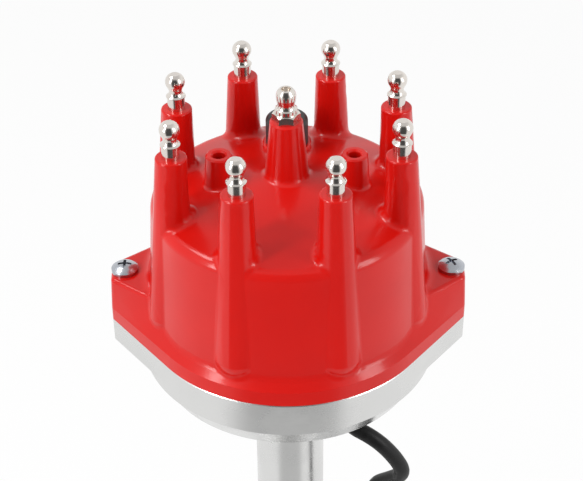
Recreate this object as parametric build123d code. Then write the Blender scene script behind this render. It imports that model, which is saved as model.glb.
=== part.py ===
from build123d import *
import math
import os

# Breakerless V8 ignition distributor with a male-terminal cap and mechanical advance.
# Origin: the shaft axis at the hold-down flange's seat. +Z up to the cap, +X to the right
# screw ear, -Y the front. All sizes are in millimetres.

os.makedirs("parts", exist_ok=True)

# ---------------------------------------------------------------- clearances
SCREW_CLEARANCE = 0.2  # screw shank in the cap's ear
RUNNING_CLEARANCE = 0.04  # shaft in its bush and in the advance sleeve
BEARING_CLEARANCE = 0.05  # balls in races and cage
SEAT_GAP = 0.3  # faces of different bodies that meet
SPIGOT_CLEARANCE = 0.1  # cap on the housing's register

# ---------------------------------------------------------------- shaft line
SHAFT_R = 6.35
SHAFT_END_R = 5.0  # stepped end that carries the advance cam

# ---------------------------------------------------------------- housing
FLANGE_R = 25.0
FLANGE_T = 8.0
PILOT_R = 16.1
BARREL_L = 74.0
BARREL_NECK_R = 15.0  # relief between the seals and the oil groove
BARREL_NECK_Z = -31.0
BARREL_NECK_W = 12.0
OIL_GROOVE_R = 13.6
OIL_GROOVE_Z = -52.0
OIL_GROOVE_W = 9.0
BARREL_BORE_R = 8.6
O_RING_WIRE_R = 1.6
O_RING_Z = (-10.0, -18.0)
O_RING_INSET = 0.05
O_RING_GROOVE_W = 4.0
TUBE_R = 12.7
FLANGE_FILLET_R = 3.0
TUBE_L = 87.7
BOWL_R = 52.0
BOWL_FOOT_IN = 5.4  # foot of the cone inside the bowl's side
BOWL_CONE_H = 9.5
BOWL_STEP = 0.5
BOWL_WALL_H = 12.8
BOWL_WALL_T = 8.0
BOWL_FLOOR_T = 5.3
HUB_R = 19.0
HUB_FOOT_R = 16.0
HUB_DROP = 15.0
HUB_LIP_H = 1.6
HUB_LIP_T = 4.0
BARREL_SHOULDER = 4.0  # hub metal between the barrel's end and the bearing
BARREL_CHAMFER = 0.8
REGISTER_H = 3.0
REGISTER_IN = 5.5
REGISTER_NOTCH_W = 6.0
RIM_CHAMFER = 0.5
EAR_T = 9.0

# ---------------------------------------------------------------- screw ears
EAR_REACH = 10.3  # beyond the bowl's side
EAR_CORNER_R = 2.5
EAR_HALF_W = 4.3
EAR_SCREW_IN = 5.3  # screw inside the ear's tip
EAR_RISE = 12.5  # ear top above the cap's base flange
EAR_TOP_IN = 11.0  # flanks' lean at the ear's top
EAR_TOP_HALF_W = 3.7
EAR_TOP_INSET = 0.6
EAR_EDGE_R = 1.5

# ---------------------------------------------------------------- cap
CAP_FLANGE_H = 5.0
CAP_FLANGE_DRAFT = 0.5
CAP_WALL_IN = 2.95  # wall's foot inside the bowl's side
CAP_WALL_LEAN = 2.95
CAP_WALL_H = 49.1
CAP_DECK_RISE = 10.1
CAP_RIM_R = 4.0
CAP_WALL_ROOT_R = 4.0
CAP_THICKNESS = 3.4
CAP_CEILING_R = 3.0
TOWERS = 8
TOWER_IN = 6.1  # tower's top inside the wall's top
TOWER_RISE = 24.9  # above the wall's top
TOWER_TOP_R = 5.2
TOWER_FOOT_H = 12.0  # above the rim
TOWER_FOOT_R = 8.0
TOWER_FOOT_LEAN = 2.8
TOWER_EDGE_R = 0.6
TOWER_FILLET_R = 2.5
CENTRE_RISE = 29.1
CENTRE_TOP_R = 5.5
CENTRE_FOOT_R = 7.7
CENTRE_FILLET_R = 2.0
BOSS_IN = 17.5  # inside the ring of towers
BOSS_RISE = 15.9
BOSS_TOP_R = 4.5
BOSS_FOOT_R = 5.4
BOSS_HOLE_R = 2.15
BOSS_HOLE_DEPTH = 9.0
BOSS_HOLE_CHAMFER = 0.6
BOSS_FILLET_R = 1.2
POST_COLLAR_R = 4.6
POST_COLLAR_DROP = 5.6  # below the wall's top
INNER_RIB_T = 1.8
INNER_RIB_DROP = 4.0
INNER_RIB_L = 21.1
BUTTON_BOSS_R = 6.6
BUTTON_BOSS_DROP = 4.1
KEY_W = 5.4

# ---------------------------------------------------------------- terminals
HEAD_RISE = 12.85  # head's top above its tower
HEAD_R = 3.3
HEAD_FLAT_R = 1.5
HEAD_DROPS = (3.0, 6.1, 7.9)  # widest place, neck and collar below the head's top
NECK_R = 2.25
COLLAR_R = 3.3
COLLAR_T = 0.4
SHANK_R = 2.95
ROOT_R = 2.6  # part moulded into the tower
POST_R = 2.5
POST_BELOW_BLADE = 3.0
COIL_HEAD_RISE = 11.5
COIL_HEAD_R = 3.25
COIL_FLAT_R = 2.3
COIL_DROPS = (2.9, 5.7, 6.9)
COIL_NECK_R = 2.85
COIL_COLLAR_R = 3.7
COIL_HOLE_R = 1.6
COIL_HOLE_DEPTH = 1.8
COIL_HEX_ACROSS_FLATS = 8.2
COIL_HEX_T = 3.0
COIL_HEX_BEVEL = 0.7
COIL_STUD_R = 3.15

# ---------------------------------------------------------------- vent cap
VENT_IN = 17.5  # inside the ring of towers
VENT_R = 7.3
VENT_H = 9.8
VENT_EDGE_R = 1.6
VENT_STEM_R = 3.6
VENT_PAD_R = 8.4
VENT_PAD_RISE = 7.1
VENT_STEM_L = 8.0

# ---------------------------------------------------------------- screws
CAP_SCREW_R = 2.4
CAP_SCREW_BITE = 6.5
CAP_SCREW_HEAD_R = 4.7
CAP_SCREW_HEAD_H = 3.1
SMALL_SCREW_R = 1.5
SMALL_SCREW_BITE = 4.0
SMALL_SCREW_HEAD_R = 2.8
SMALL_SCREW_HEAD_H = 1.8
ROTOR_SCREW_R = 1.9
ROTOR_SCREW_HEAD_R = 3.4
ROTOR_SCREW_HEAD_H = 2.2

# ---------------------------------------------------------------- ball bearing
BEARING_OD_R = 14.29
BEARING_W = 7.94
BEARING_BELOW_FLOOR = 1.0
RACE_T = 2.15
BALLS = 9
BALL_BEARING_R = 2.25
BEARING_RELIEF = 0.2
CAGE_T = 1.3
CAGE_W = 5.2
CIRCLIP_T = 1.1
CIRCLIP_OUT = 1.0
CIRCLIP_IN = 2.2

# ---------------------------------------------------------------- lower end
BUSH_T = 1.7
BUSH_L = 30.0
THRUST_WASHER_T = 0.8
THRUST_WASHERS = 2
THRUST_WASHER_R = 10.0
GEAR_TEETH = 13
GEAR_PITCH_R = 14.2
GEAR_ADDENDUM = 1.5
GEAR_DEDENDUM = 1.9
GEAR_FACE_W = 22.0
GEAR_HELIX_DEG = 45.0
GEAR_COLLAR_R = 10.6
GEAR_COLLAR_L = 10.0
ROLL_PIN_R = 1.6
SHAFT_TAIL_L = 9.0
DRIVE_SLOT_W = 4.8
DRIVE_SLOT_DEPTH = 6.5

# ---------------------------------------------------------------- advance
ADVANCE_LIMIT_DEG = 12.0
SLEEVE_WALL = 3.2
SLEEVE_WASHER_T = 1.0
SLEEVE_ABOVE_RIM = 4.0
BASE_PLATE_T = 2.4
BASE_PLATE_R = 29.0
CAM_GAP = 0.5
CAM_T = 4.6
CAM_HUB_R = 8.6
CAM_LOBE_R = 3.2
CAM_LOBE_PITCH_R = 12.0
CAM_LOBE_DEG = 101.0
STOP_PITCH_R = 12.4
STOP_PIN_R = 1.2
STOP_BUSH_R = 1.9
STOP_SLOT_CLEARANCE = 0.25
WEIGHT_T = 5.0
WEIGHT_LIFT = 0.4
WEIGHT_IN_R = 16.4
WEIGHT_OUT_R = 27.6
WEIGHT_START_DEG = 97.0
WEIGHT_SWEEP_DEG = 108.0
WEIGHT_CORNER_R = 2.0
WEIGHT_EYE_R = 5.0
WEIGHT_NOSE_R = 1.5
WEIGHT_NOSE_REACH = 8.7
PIVOT_PITCH_R = 23.1
PIVOT_DEG = 85.0
PIVOT_PIN_R = 2.2
PIN_HEAD_R = 3.3
PIN_HEAD_T = 0.9
SPRING_POST_R = 1.1
SPRING_POST_H = 3.9
WEIGHT_POST_R = 21.0
WEIGHT_POST_DEG = 150.0
BASE_POST_PITCH_R = 18.2
BASE_POST_DEG = 214.0
ADVANCE_SPRING_R = 1.7
ADVANCE_SPRING_WIRE_R = 0.35
ADVANCE_SPRING_TURNS = 7
SPRING_ABOVE_WEIGHT = 2.5
WIRE_SIDES = 6

# ---------------------------------------------------------------- reluctor and pickup
RELUCTOR_TEETH = 8
RELUCTOR_BODY_R = 15.6
RELUCTOR_TIP_R = 19.6
RELUCTOR_TOOTH_W = 3.6
RELUCTOR_LIFT = 6.0
RELUCTOR_H = 8.0
AIR_GAP = 0.7
PICKUP_DEG = -58.0
PICKUP_PLATE_T = 1.8
PICKUP_PLATE_TEETH_GAP = 2.9
PICKUP_PLATE_WALL_GAP = 2.4
PICKUP_PLATE_SWEEP_DEG = 74.0
PICKUP_SCREW_DEG = 27.0
PICKUP_SCREW_PITCH_R = 33.0
MAGNET_L = 6.0
MAGNET_W = 12.0
MAGNET_IN = 2.1  # inside the plate's edge
POLE_W = 5.0
POLE_H = 4.0
BOBBIN_TEETH_GAP = 3.2
BOBBIN_MAGNET_GAP = 1.1
BOBBIN_SIZE = 11.0
BOBBIN_FLANGE_T = 1.0
BOBBIN_CORE_WALL = 0.8

# ---------------------------------------------------------------- rotor
ROTOR_DISC_IN = 3.5  # inside the blade's tip
ROTOR_DISC_LIFT = 10.0
ROTOR_DISC_T = 3.0
ROTOR_RIM_H = 2.2
ROTOR_RIM_T = 2.4
ROTOR_HUB_R = 12.5
ROTOR_HUB_H = 9.0
ROTOR_FOOT_R = 4.4
ROTOR_FOOT_IN = 9.0  # inside the disc's edge
ROTOR_FOOT_DEG = 55.0
ROTOR_ARM_DEG = -67.5
ROTOR_ARM_W = 11.0
ROTOR_ARM_IN = 2.1  # inside the blade's tip
ARM_TIP_HALF_W = 2.0
ARM_TIP_L = 2.9
ARM_ROOT_L = 5.0
ARM_RELIEF_H = 8.0
ARM_RELIEF_EDGE_R = 3.0
ROTOR_WEB_T = 3.0
ROTOR_WEB_H = 6.0
ROTOR_WEB_END = 1.6
BLADE_DROP = 13.6  # below the wall's top
BLADE_T = 1.2
BLADE_W = 6.5
BLADE_TIP_W = 9.0
BLADE_TIP_L = 4.0
BLADE_TAIL = 6.0
ROTOR_TIP_GAP = 1.0
CONTACT_T = 0.5
CONTACT_W = 5.0
CONTACT_RISE = 1.4
CONTACT_END_R = 15.0
CONTACT_BEND_R = 9.3
BUTTON_R = 2.9
BUTTON_CLEARANCE = 0.1
BUTTON_L = 9.8
BUTTON_SPRING_R = 2.1
BUTTON_SPRING_WIRE_R = 0.3
BUTTON_SPRING_TURNS = 6
BUTTON_SPRING_ROOM = 7.4

# ---------------------------------------------------------------- cable
CABLE_R = 2.85
GROMMET_X = 19.5
GROMMET_Y = -26.0
GROMMET_R = 4.6
GROMMET_FLANGE_R = 6.6
GROMMET_FLANGE_T = 1.5
CONNECTOR_L = 26.0
CONNECTOR_W = 13.0
CONNECTOR_T = 8.5
CABLE_ROUTE = [  # x, y and depth below the grommet
    (19.5, -26.0, 7.6),
    (30.5, -31.0, 10.7),
    (38.0, -29.9, 21.2),
    (41.5, -28.0, 30.7),
    (37.0, -22.5, 38.7),
    (30.9, -16.0, 47.7),
    (29.9, -14.6, 66.2),
    (31.6, -14.2, 93.2),
    (32.6, -15.6, 124.2),
]

# ---------------------------------------------------------------- radii worked out
BOWL_FOOT_R = BOWL_R - BOWL_FOOT_IN
BOWL_BORE_R = BOWL_R - BOWL_WALL_T
REGISTER_R = BOWL_R - REGISTER_IN
EAR_TIP_R = BOWL_R + EAR_REACH
EAR_SCREW_R = EAR_TIP_R - EAR_SCREW_IN
EAR_TOP_TANGENT_R = BOWL_R - EAR_TOP_IN
CAP_WALL_BASE_R = BOWL_R - CAP_WALL_IN
CAP_WALL_TOP_R = CAP_WALL_BASE_R - CAP_WALL_LEAN
TOWER_PITCH_R = CAP_WALL_TOP_R - TOWER_IN
BOSS_X = TOWER_PITCH_R - BOSS_IN
VENT_Y = TOWER_PITCH_R - VENT_IN
BLADE_TIP_R = TOWER_PITCH_R - POST_R - ROTOR_TIP_GAP
ROTOR_R = BLADE_TIP_R - ROTOR_DISC_IN
ROTOR_ARM_R = BLADE_TIP_R - ROTOR_ARM_IN
ROTOR_FOOT_PITCH_R = ROTOR_R - ROTOR_FOOT_IN
PICKUP_PLATE_IN_R = RELUCTOR_TIP_R + PICKUP_PLATE_TEETH_GAP
PICKUP_PLATE_OUT_R = BOWL_BORE_R - PICKUP_PLATE_WALL_GAP
MAGNET_OUT_R = PICKUP_PLATE_OUT_R - MAGNET_IN
BOBBIN_IN_R = RELUCTOR_TIP_R + BOBBIN_TEETH_GAP
BOBBIN_OUT_R = MAGNET_OUT_R - MAGNET_L - BOBBIN_MAGNET_GAP

# ---------------------------------------------------------------- heights worked out
BOWL_FOOT_Z = FLANGE_T + TUBE_L
FLOOR_Z = BOWL_FOOT_Z + BOWL_FLOOR_T
RIM_Z = BOWL_FOOT_Z + BOWL_CONE_H + BOWL_WALL_H
BEARING_TOP_Z = FLOOR_Z - BEARING_BELOW_FLOOR
BARREL_TOP_Z = BEARING_TOP_Z - BEARING_W - BARREL_SHOULDER
SLEEVE_Z = BEARING_TOP_Z + SLEEVE_WASHER_T + SEAT_GAP
SLEEVE_R = SHAFT_R + RUNNING_CLEARANCE + SLEEVE_WALL
SLEEVE_TOP_Z = RIM_Z + SLEEVE_ABOVE_RIM
PLATE_TOP_Z = SLEEVE_TOP_Z + BASE_PLATE_T
CAM_Z = PLATE_TOP_Z + CAM_GAP
WEIGHT_Z = PLATE_TOP_Z + WEIGHT_LIFT
WEIGHT_TOP_Z = WEIGHT_Z + WEIGHT_T
RELUCTOR_Z = FLOOR_Z + RELUCTOR_LIFT
POLE_Z = RELUCTOR_Z + (RELUCTOR_H - POLE_H) / 2
CAP_FLANGE_TOP_Z = RIM_Z + CAP_FLANGE_H
EAR_TOP_Z = CAP_FLANGE_TOP_Z + EAR_RISE
TOWER_FOOT_Z = RIM_Z + TOWER_FOOT_H
CAP_WALL_TOP_Z = RIM_Z + CAP_WALL_H
DECK_APEX_Z = CAP_WALL_TOP_Z + CAP_DECK_RISE
TOWER_TOP_Z = CAP_WALL_TOP_Z + TOWER_RISE
CENTRE_TOP_Z = CAP_WALL_TOP_Z + CENTRE_RISE
BOSS_TOP_Z = CAP_WALL_TOP_Z + BOSS_RISE
VENT_PAD_Z = CAP_WALL_TOP_Z + VENT_PAD_RISE
VENT_TOP_Z = VENT_PAD_Z + VENT_H
POST_COLLAR_Z = CAP_WALL_TOP_Z - POST_COLLAR_DROP
BUTTON_BOSS_Z = CAP_WALL_TOP_Z - BUTTON_BOSS_DROP
ROTOR_DISC_Z = PLATE_TOP_Z + ROTOR_DISC_LIFT
ROTOR_BLADE_Z = CAP_WALL_TOP_Z - BLADE_DROP
POST_END_Z = ROTOR_BLADE_Z - POST_BELOW_BLADE
CONTACT_TOP_Z = ROTOR_BLADE_Z + BLADE_T + CONTACT_RISE
BUTTON_Z = CONTACT_TOP_Z + SEAT_GAP
COIL_SHANK_END_Z = BUTTON_Z + BUTTON_L + BUTTON_SPRING_ROOM
THRUST_Z = -BARREL_L - SEAT_GAP
GEAR_TOP_Z = THRUST_Z - THRUST_WASHERS * THRUST_WASHER_T
GEAR_END_Z = GEAR_TOP_Z - GEAR_FACE_W - GEAR_COLLAR_L
SHAFT_END_Z = GEAR_END_Z - SHAFT_TAIL_L


# ================================================================ helpers
def polar(radius, degrees):
    """Point at a radius and an angle from +X in the plan."""
    return radius * math.cos(math.radians(degrees)), radius * math.sin(math.radians(degrees))


def turned(*points):
    """Solid of revolution about Z from (radius, height) corners."""
    return revolve(Plane.XZ * Polygon(*points, align=None), Axis.Z)


def turned_curve(*edges):
    """Solid of revolution about Z from a closed chain of lines and arcs in (radius, height)."""
    return revolve(Plane.XZ * make_face(Curve() + list(edges)), Axis.Z)


def disc(radius, low, high, x=0.0, y=0.0):
    """Round bar between two heights."""
    return Pos(x, y, low) * extrude(Circle(radius), high - low)


def ring(inner, outer, low, high):
    """Plain ring between two heights."""
    return disc(outer, low, high) - disc(inner, low - 1, high + 1)


def deck_z(radius):
    """Height of the cap's conical deck at a radius."""
    return DECK_APEX_Z - CAP_DECK_RISE * radius / CAP_WALL_TOP_R


def ceiling_z(radius):
    """Height of the inside of the deck at a radius."""
    return deck_z(radius) - CAP_THICKNESS


def tower_degrees():
    """Angles of the towers, firing posts centred about the front."""
    step = 360.0 / TOWERS
    return [-90.0 + step * (index + 0.5) for index in range(TOWERS)]


def ear_outline(round_r, tip_r, corner_r, half_w):
    """Plan of a round body with two pointed screw ears on X, tangent to the round."""
    reach = tip_r - corner_r
    corner_deg = math.degrees(math.asin(half_w / reach))
    normal_deg = corner_deg + math.degrees(math.acos((round_r - corner_r) / reach))
    corner = polar(reach, corner_deg)
    on_round = polar(round_r, normal_deg)
    flank = polar(corner_r, normal_deg)
    bulge = polar(corner_r, (normal_deg + corner_deg) / 2)
    leave = (corner[0] + flank[0], corner[1] + flank[1])
    middle = (corner[0] + bulge[0], corner[1] + bulge[1])
    arrive = polar(tip_r, corner_deg)
    quarter = [
        Line(on_round, leave),
        ThreePointArc(leave, middle, arrive),
    ]
    half = quarter + [mirror(edge, Plane.XZ) for edge in quarter]
    half.append(ThreePointArc(arrive, (tip_r, 0), (arrive[0], -arrive[1])))
    sides = half + [mirror(edge, Plane.YZ) for edge in half]
    for y in (1, -1):
        left = (-on_round[0], y * on_round[1])
        sides.append(ThreePointArc(left, (0, y * round_r), (on_round[0], y * on_round[1])))
    return make_face(Curve() + sides)


def cross_recess(size, depth):
    """Cutter for a cross-shaped driver recess, mouth at z = 0."""
    arm = Box(2 * size, size * 0.42, 2 * depth)
    return arm + Rot(0, 0, 90) * arm


def pan_screw(shank_r, length, head_r, head_h):
    """Pan-head screw, head seat at z = 0 and shank down -Z."""
    edge_h = head_h * 0.38
    dome_h = head_h - edge_h
    dome_r = (head_r**2 + dome_h**2) / (2 * dome_h)
    half_way = (head_r / 2, head_h - dome_r + math.sqrt(dome_r**2 - head_r**2 / 4))
    screw = turned_curve(
        Line((0, -length), (shank_r - 0.5, -length)),
        Line((shank_r - 0.5, -length), (shank_r, -length + 0.7)),
        Line((shank_r, -length + 0.7), (shank_r, 0)),
        Line((shank_r, 0), (head_r, 0)),
        Line((head_r, 0), (head_r, edge_h)),
        ThreePointArc((head_r, edge_h), half_way, (0, head_h)),
        Line((0, head_h), (0, -length)),
    )
    return screw - Pos(0, 0, head_h) * cross_recess(head_r * 0.5, head_h * 0.55)


# ================================================================ cap
def cap_wall():
    """Deck and wall as one turned form, solid inside."""
    profile = Polygon(
        (0, RIM_Z),
        (CAP_WALL_BASE_R, RIM_Z),
        (CAP_WALL_TOP_R, CAP_WALL_TOP_Z),
        (0, DECK_APEX_Z),
        align=None,
    )
    shoulder = profile.vertices().sort_by_distance((CAP_WALL_TOP_R, CAP_WALL_TOP_Z, 0))[0]
    return revolve(Plane.XZ * fillet(shoulder, CAP_RIM_R), Axis.Z)


def cap_skirt():
    """Base flange that rises into the two screw ears."""
    foot = ear_outline(BOWL_R, EAR_TIP_R, EAR_CORNER_R, EAR_HALF_W)
    edge = ear_outline(BOWL_R - CAP_FLANGE_DRAFT, EAR_TIP_R, EAR_CORNER_R, EAR_HALF_W)
    top = ear_outline(EAR_TOP_TANGENT_R, EAR_TIP_R - EAR_TOP_INSET, EAR_CORNER_R, EAR_TOP_HALF_W)
    flange = loft([Pos(0, 0, RIM_Z) * foot.face(), Pos(0, 0, CAP_FLANGE_TOP_Z) * edge.face()])
    ears = loft([Pos(0, 0, CAP_FLANGE_TOP_Z) * edge.face(), Pos(0, 0, EAR_TOP_Z) * top.face()])
    skirt = flange + ears
    return fillet(skirt.edges().group_by(Axis.Z)[-1], EAR_EDGE_R)


def tower():
    """Tapered tower that leans with the wall and ends below in a round rib foot."""
    foot_r = TOWER_PITCH_R + TOWER_FOOT_LEAN
    top = Pos(TOWER_PITCH_R, 0, TOWER_TOP_Z) * Circle(TOWER_TOP_R)
    foot = Pos(foot_r, 0, TOWER_FOOT_Z) * Circle(TOWER_FOOT_R)
    cone = loft([foot.face(), top.face()])
    cone = fillet(cone.edges().sort_by(Axis.Z)[-1], TOWER_EDGE_R)
    round_end = Sphere(TOWER_FOOT_R) - Pos(0, 0, TOWER_FOOT_R) * Box(*[2 * TOWER_FOOT_R] * 3)
    return cone + Pos(foot_r, 0, TOWER_FOOT_Z) * round_end


def cap_outside():
    """Wall and skirt run into one another, then the ring of towers blends into both."""
    wall = cap_wall()
    skirt = cap_skirt()
    shell = wall + skirt
    shell = fillet(new_edges(wall, skirt, combined=shell), CAP_WALL_ROOT_R)
    towers = [Rot(0, 0, degrees) * tower() for degrees in tower_degrees()]
    joined = shell + towers
    seams = new_edges(shell, *towers, combined=joined)
    return fillet(seams, TOWER_FILLET_R)


def cap_cavity():
    """Hollow under the cap, with the register bore at its mouth."""
    mouth_r = REGISTER_R + SPIGOT_CLEARANCE
    mouth_z = RIM_Z + REGISTER_H + SEAT_GAP
    low_r = CAP_WALL_BASE_R - CAP_THICKNESS
    high_r = CAP_WALL_TOP_R - CAP_THICKNESS
    profile = Polygon(
        (0, RIM_Z - 1),
        (mouth_r, RIM_Z - 1),
        (mouth_r, mouth_z),
        (low_r, mouth_z),
        (high_r, ceiling_z(high_r)),
        (0, ceiling_z(0)),
        align=None,
    )
    corner = profile.vertices().sort_by_distance((high_r, ceiling_z(high_r), 0))[0]
    profile = fillet(corner, CAP_CEILING_R)
    return revolve(Plane.XZ * profile, Axis.Z)


def inner_rib():
    """Low rib between two posts, following the ceiling."""
    out_r = CAP_WALL_TOP_R - 1.0
    in_r = out_r - INNER_RIB_L
    low = ceiling_z(out_r) - INNER_RIB_DROP
    profile = Polygon(
        (in_r, low),
        (out_r, low),
        (out_r, ceiling_z(out_r) + 1.0),
        (in_r, ceiling_z(in_r) + 1.0),
        align=None,
    )
    return extrude(Plane.XZ * profile, INNER_RIB_T / 2, both=True)


def screw_boss(x):
    """Boss on the deck for a wire-retainer screw."""
    foot = deck_z(BOSS_X) - 2.0
    boss = Pos(x, 0, 0) * turned(
        (0, foot),
        (BOSS_FOOT_R, foot),
        (BOSS_TOP_R, BOSS_TOP_Z - 0.5),
        (BOSS_TOP_R - 0.5, BOSS_TOP_Z),
        (0, BOSS_TOP_Z),
    )
    return boss


def distributor_cap():
    """Moulded cap: towers, deck, wall, ears and flange outside, hollow inside."""
    cap = cap_outside()
    centre_foot = deck_z(CENTRE_FOOT_R) - 3.0
    centre = turned(
        (0, centre_foot),
        (CENTRE_FOOT_R, centre_foot),
        (CENTRE_TOP_R, CENTRE_TOP_Z - TOWER_EDGE_R),
        (CENTRE_TOP_R - TOWER_EDGE_R, CENTRE_TOP_Z),
        (0, CENTRE_TOP_Z),
    )
    pad = Pos(0, VENT_Y, 0) * turned(
        (0, deck_z(VENT_Y) - 3.0),
        (VENT_PAD_R + 0.3, deck_z(VENT_Y) - 3.0),
        (VENT_PAD_R, VENT_PAD_Z - 0.4),
        (VENT_PAD_R - 0.4, VENT_PAD_Z),
        (0, VENT_PAD_Z),
    )
    merged = cap + centre
    merged = fillet(new_edges(cap, centre, combined=merged), CENTRE_FILLET_R)
    for x in (BOSS_X, -BOSS_X):
        boss = screw_boss(x)
        joined = merged + boss
        merged = fillet(new_edges(merged, boss, combined=joined), BOSS_FILLET_R)
    merged = merged + pad
    merged = merged - cap_cavity()
    for degrees in tower_degrees():
        x, y = polar(TOWER_PITCH_R, degrees)
        collar = disc(POST_COLLAR_R, POST_COLLAR_Z, ceiling_z(TOWER_PITCH_R) + 2.0, x, y)
        collar = fillet(collar.edges().sort_by(Axis.Z)[0], 0.6)
        merged = merged + collar
    half_step = 180.0 / TOWERS
    ribs = Rot(0, 0, half_step + tower_degrees()[0]) * inner_rib()
    for index in range(1, TOWERS):
        ribs = ribs + Rot(0, 0, half_step + tower_degrees()[index]) * inner_rib()
    merged = merged + ribs
    merged = merged + disc(BUTTON_BOSS_R, BUTTON_BOSS_Z, ceiling_z(0) + 1.0)
    key_in_r = BOWL_BORE_R + 0.6
    key_out_r = REGISTER_R + 1.0
    key = Pos(0, (key_in_r + key_out_r) / 2, RIM_Z + REGISTER_H / 2 + 1.0) * Box(
        KEY_W, key_out_r - key_in_r, REGISTER_H + 1.0
    )
    merged = merged + key
    for degrees in tower_degrees():
        x, y = polar(TOWER_PITCH_R, degrees)
        merged = merged - disc(ROOT_R, ceiling_z(TOWER_PITCH_R), TOWER_TOP_Z + 1, x, y)
        merged = merged - disc(POST_R, POST_COLLAR_Z - 1, ceiling_z(TOWER_PITCH_R) + 1, x, y)
    merged = merged - disc(COIL_STUD_R, COIL_SHANK_END_Z, CENTRE_TOP_Z + 1)
    merged = merged - disc(BUTTON_R + BUTTON_CLEARANCE, BUTTON_BOSS_Z - 1, COIL_SHANK_END_Z)
    for x in (BOSS_X, -BOSS_X):
        merged = merged - disc(BOSS_HOLE_R, BOSS_TOP_Z - BOSS_HOLE_DEPTH, BOSS_TOP_Z + 1, x, 0)
        mouth = Cone(BOSS_HOLE_R, BOSS_HOLE_R + BOSS_HOLE_CHAMFER, BOSS_HOLE_CHAMFER)
        merged = merged - Pos(x, 0, BOSS_TOP_Z - BOSS_HOLE_CHAMFER / 2) * mouth
    merged = merged - disc(VENT_STEM_R, ceiling_z(VENT_Y) - 3, VENT_PAD_Z + 1, 0, VENT_Y)
    for x in (EAR_SCREW_R, -EAR_SCREW_R):
        merged = merged - disc(CAP_SCREW_R + SCREW_CLEARANCE, RIM_Z - 1, EAR_TOP_Z + 1, x, 0)
    return merged


def terminal_head(top_z, head_r, flat_r, neck_r, collar_r, drops):
    """Outline of a snap head from its flat top over the barrel and neck to its collar."""
    widest_z, neck_z, collar_z = [top_z - drop for drop in drops]
    slope_r = head_r - neck_r
    slope_h = widest_z - neck_z
    shoulder = (flat_r + 0.72 * (head_r - flat_r), top_z - 0.35 * drops[0])
    turn = (head_r - 0.12 * slope_r, widest_z - 0.24 * slope_h)
    slope_top = (head_r - 0.4 * slope_r, widest_z - 0.45 * slope_h)
    slope_foot = (neck_r + 0.2 * slope_r, neck_z + 0.25 * slope_h)
    lip = (collar_r - 0.15, collar_z)
    return [
        Line((0, top_z), (flat_r, top_z)),
        ThreePointArc((flat_r, top_z), shoulder, (head_r, widest_z)),
        ThreePointArc((head_r, widest_z), turn, slope_top),
        Line(slope_top, slope_foot),
        ThreePointArc(slope_foot, (neck_r, neck_z), lip),
        Line(lip, (collar_r, collar_z - 0.15)),
    ]


def spark_terminal():
    """Outer terminal moulded into its tower, ending in the post that the rotor passes."""
    top_z = TOWER_TOP_Z + HEAD_RISE
    collar_z = top_z - HEAD_DROPS[2]
    root_z = ceiling_z(TOWER_PITCH_R)
    outline = terminal_head(top_z, HEAD_R, HEAD_FLAT_R, NECK_R, COLLAR_R, HEAD_DROPS)
    outline += [
        Line((COLLAR_R, collar_z - 0.15), (COLLAR_R, collar_z - COLLAR_T)),
        Line((COLLAR_R, collar_z - COLLAR_T), (SHANK_R, collar_z - COLLAR_T - 0.2)),
        Line((SHANK_R, collar_z - COLLAR_T - 0.2), (SHANK_R, TOWER_TOP_Z)),
        Line((SHANK_R, TOWER_TOP_Z), (ROOT_R, TOWER_TOP_Z)),
        Line((ROOT_R, TOWER_TOP_Z), (ROOT_R, root_z)),
        Line((ROOT_R, root_z), (POST_R, root_z)),
        Line((POST_R, root_z), (POST_R, POST_END_Z + 0.6)),
        Line((POST_R, POST_END_Z + 0.6), (POST_R - 0.6, POST_END_Z)),
        Line((POST_R - 0.6, POST_END_Z), (0, POST_END_Z)),
        Line((0, POST_END_Z), (0, top_z)),
    ]
    return turned_curve(*outline)


def coil_terminal():
    """Centre terminal screwed into its tower by a hexagonal foot, hollow at its top."""
    top_z = CENTRE_TOP_Z + COIL_HEAD_RISE
    collar_z = top_z - COIL_DROPS[2]
    hex_z = CENTRE_TOP_Z + COIL_HEX_T
    outline = terminal_head(top_z, COIL_HEAD_R, COIL_FLAT_R, COIL_NECK_R, COIL_COLLAR_R, COIL_DROPS)
    outline += [
        Line((COIL_COLLAR_R, collar_z - 0.15), (COIL_COLLAR_R, hex_z)),
        Line((COIL_COLLAR_R, hex_z), (COIL_STUD_R, hex_z)),
        Line((COIL_STUD_R, hex_z), (COIL_STUD_R, COIL_SHANK_END_Z)),
        Line((COIL_STUD_R, COIL_SHANK_END_Z), (0, COIL_SHANK_END_Z)),
        Line((0, COIL_SHANK_END_Z), (0, top_z)),
    ]
    stud = turned_curve(*outline)
    flat_r = COIL_HEX_ACROSS_FLATS / 2
    corner_r = flat_r / math.cos(math.pi / 6) + 0.1
    foot = Pos(0, 0, CENTRE_TOP_Z) * extrude(RegularPolygon(flat_r, 6, major_radius=False), COIL_HEX_T)
    foot = foot & turned(
        (0, CENTRE_TOP_Z),
        (corner_r, CENTRE_TOP_Z),
        (corner_r, hex_z - COIL_HEX_BEVEL),
        (flat_r - 0.1, hex_z),
        (0, hex_z),
    )
    return stud + foot - disc(COIL_HOLE_R, top_z - COIL_HOLE_DEPTH, top_z + 1)


def cap_screws():
    """The two screws that hold the cap down."""
    length = EAR_TOP_Z - RIM_Z + CAP_SCREW_BITE
    screw = Pos(0, 0, EAR_TOP_Z) * pan_screw(CAP_SCREW_R, length, CAP_SCREW_HEAD_R, CAP_SCREW_HEAD_H)
    return Compound([Pos(EAR_SCREW_R, 0, 0) * Rot(0, 0, 32) * screw, Pos(-EAR_SCREW_R, 0, 0) * screw])


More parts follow.
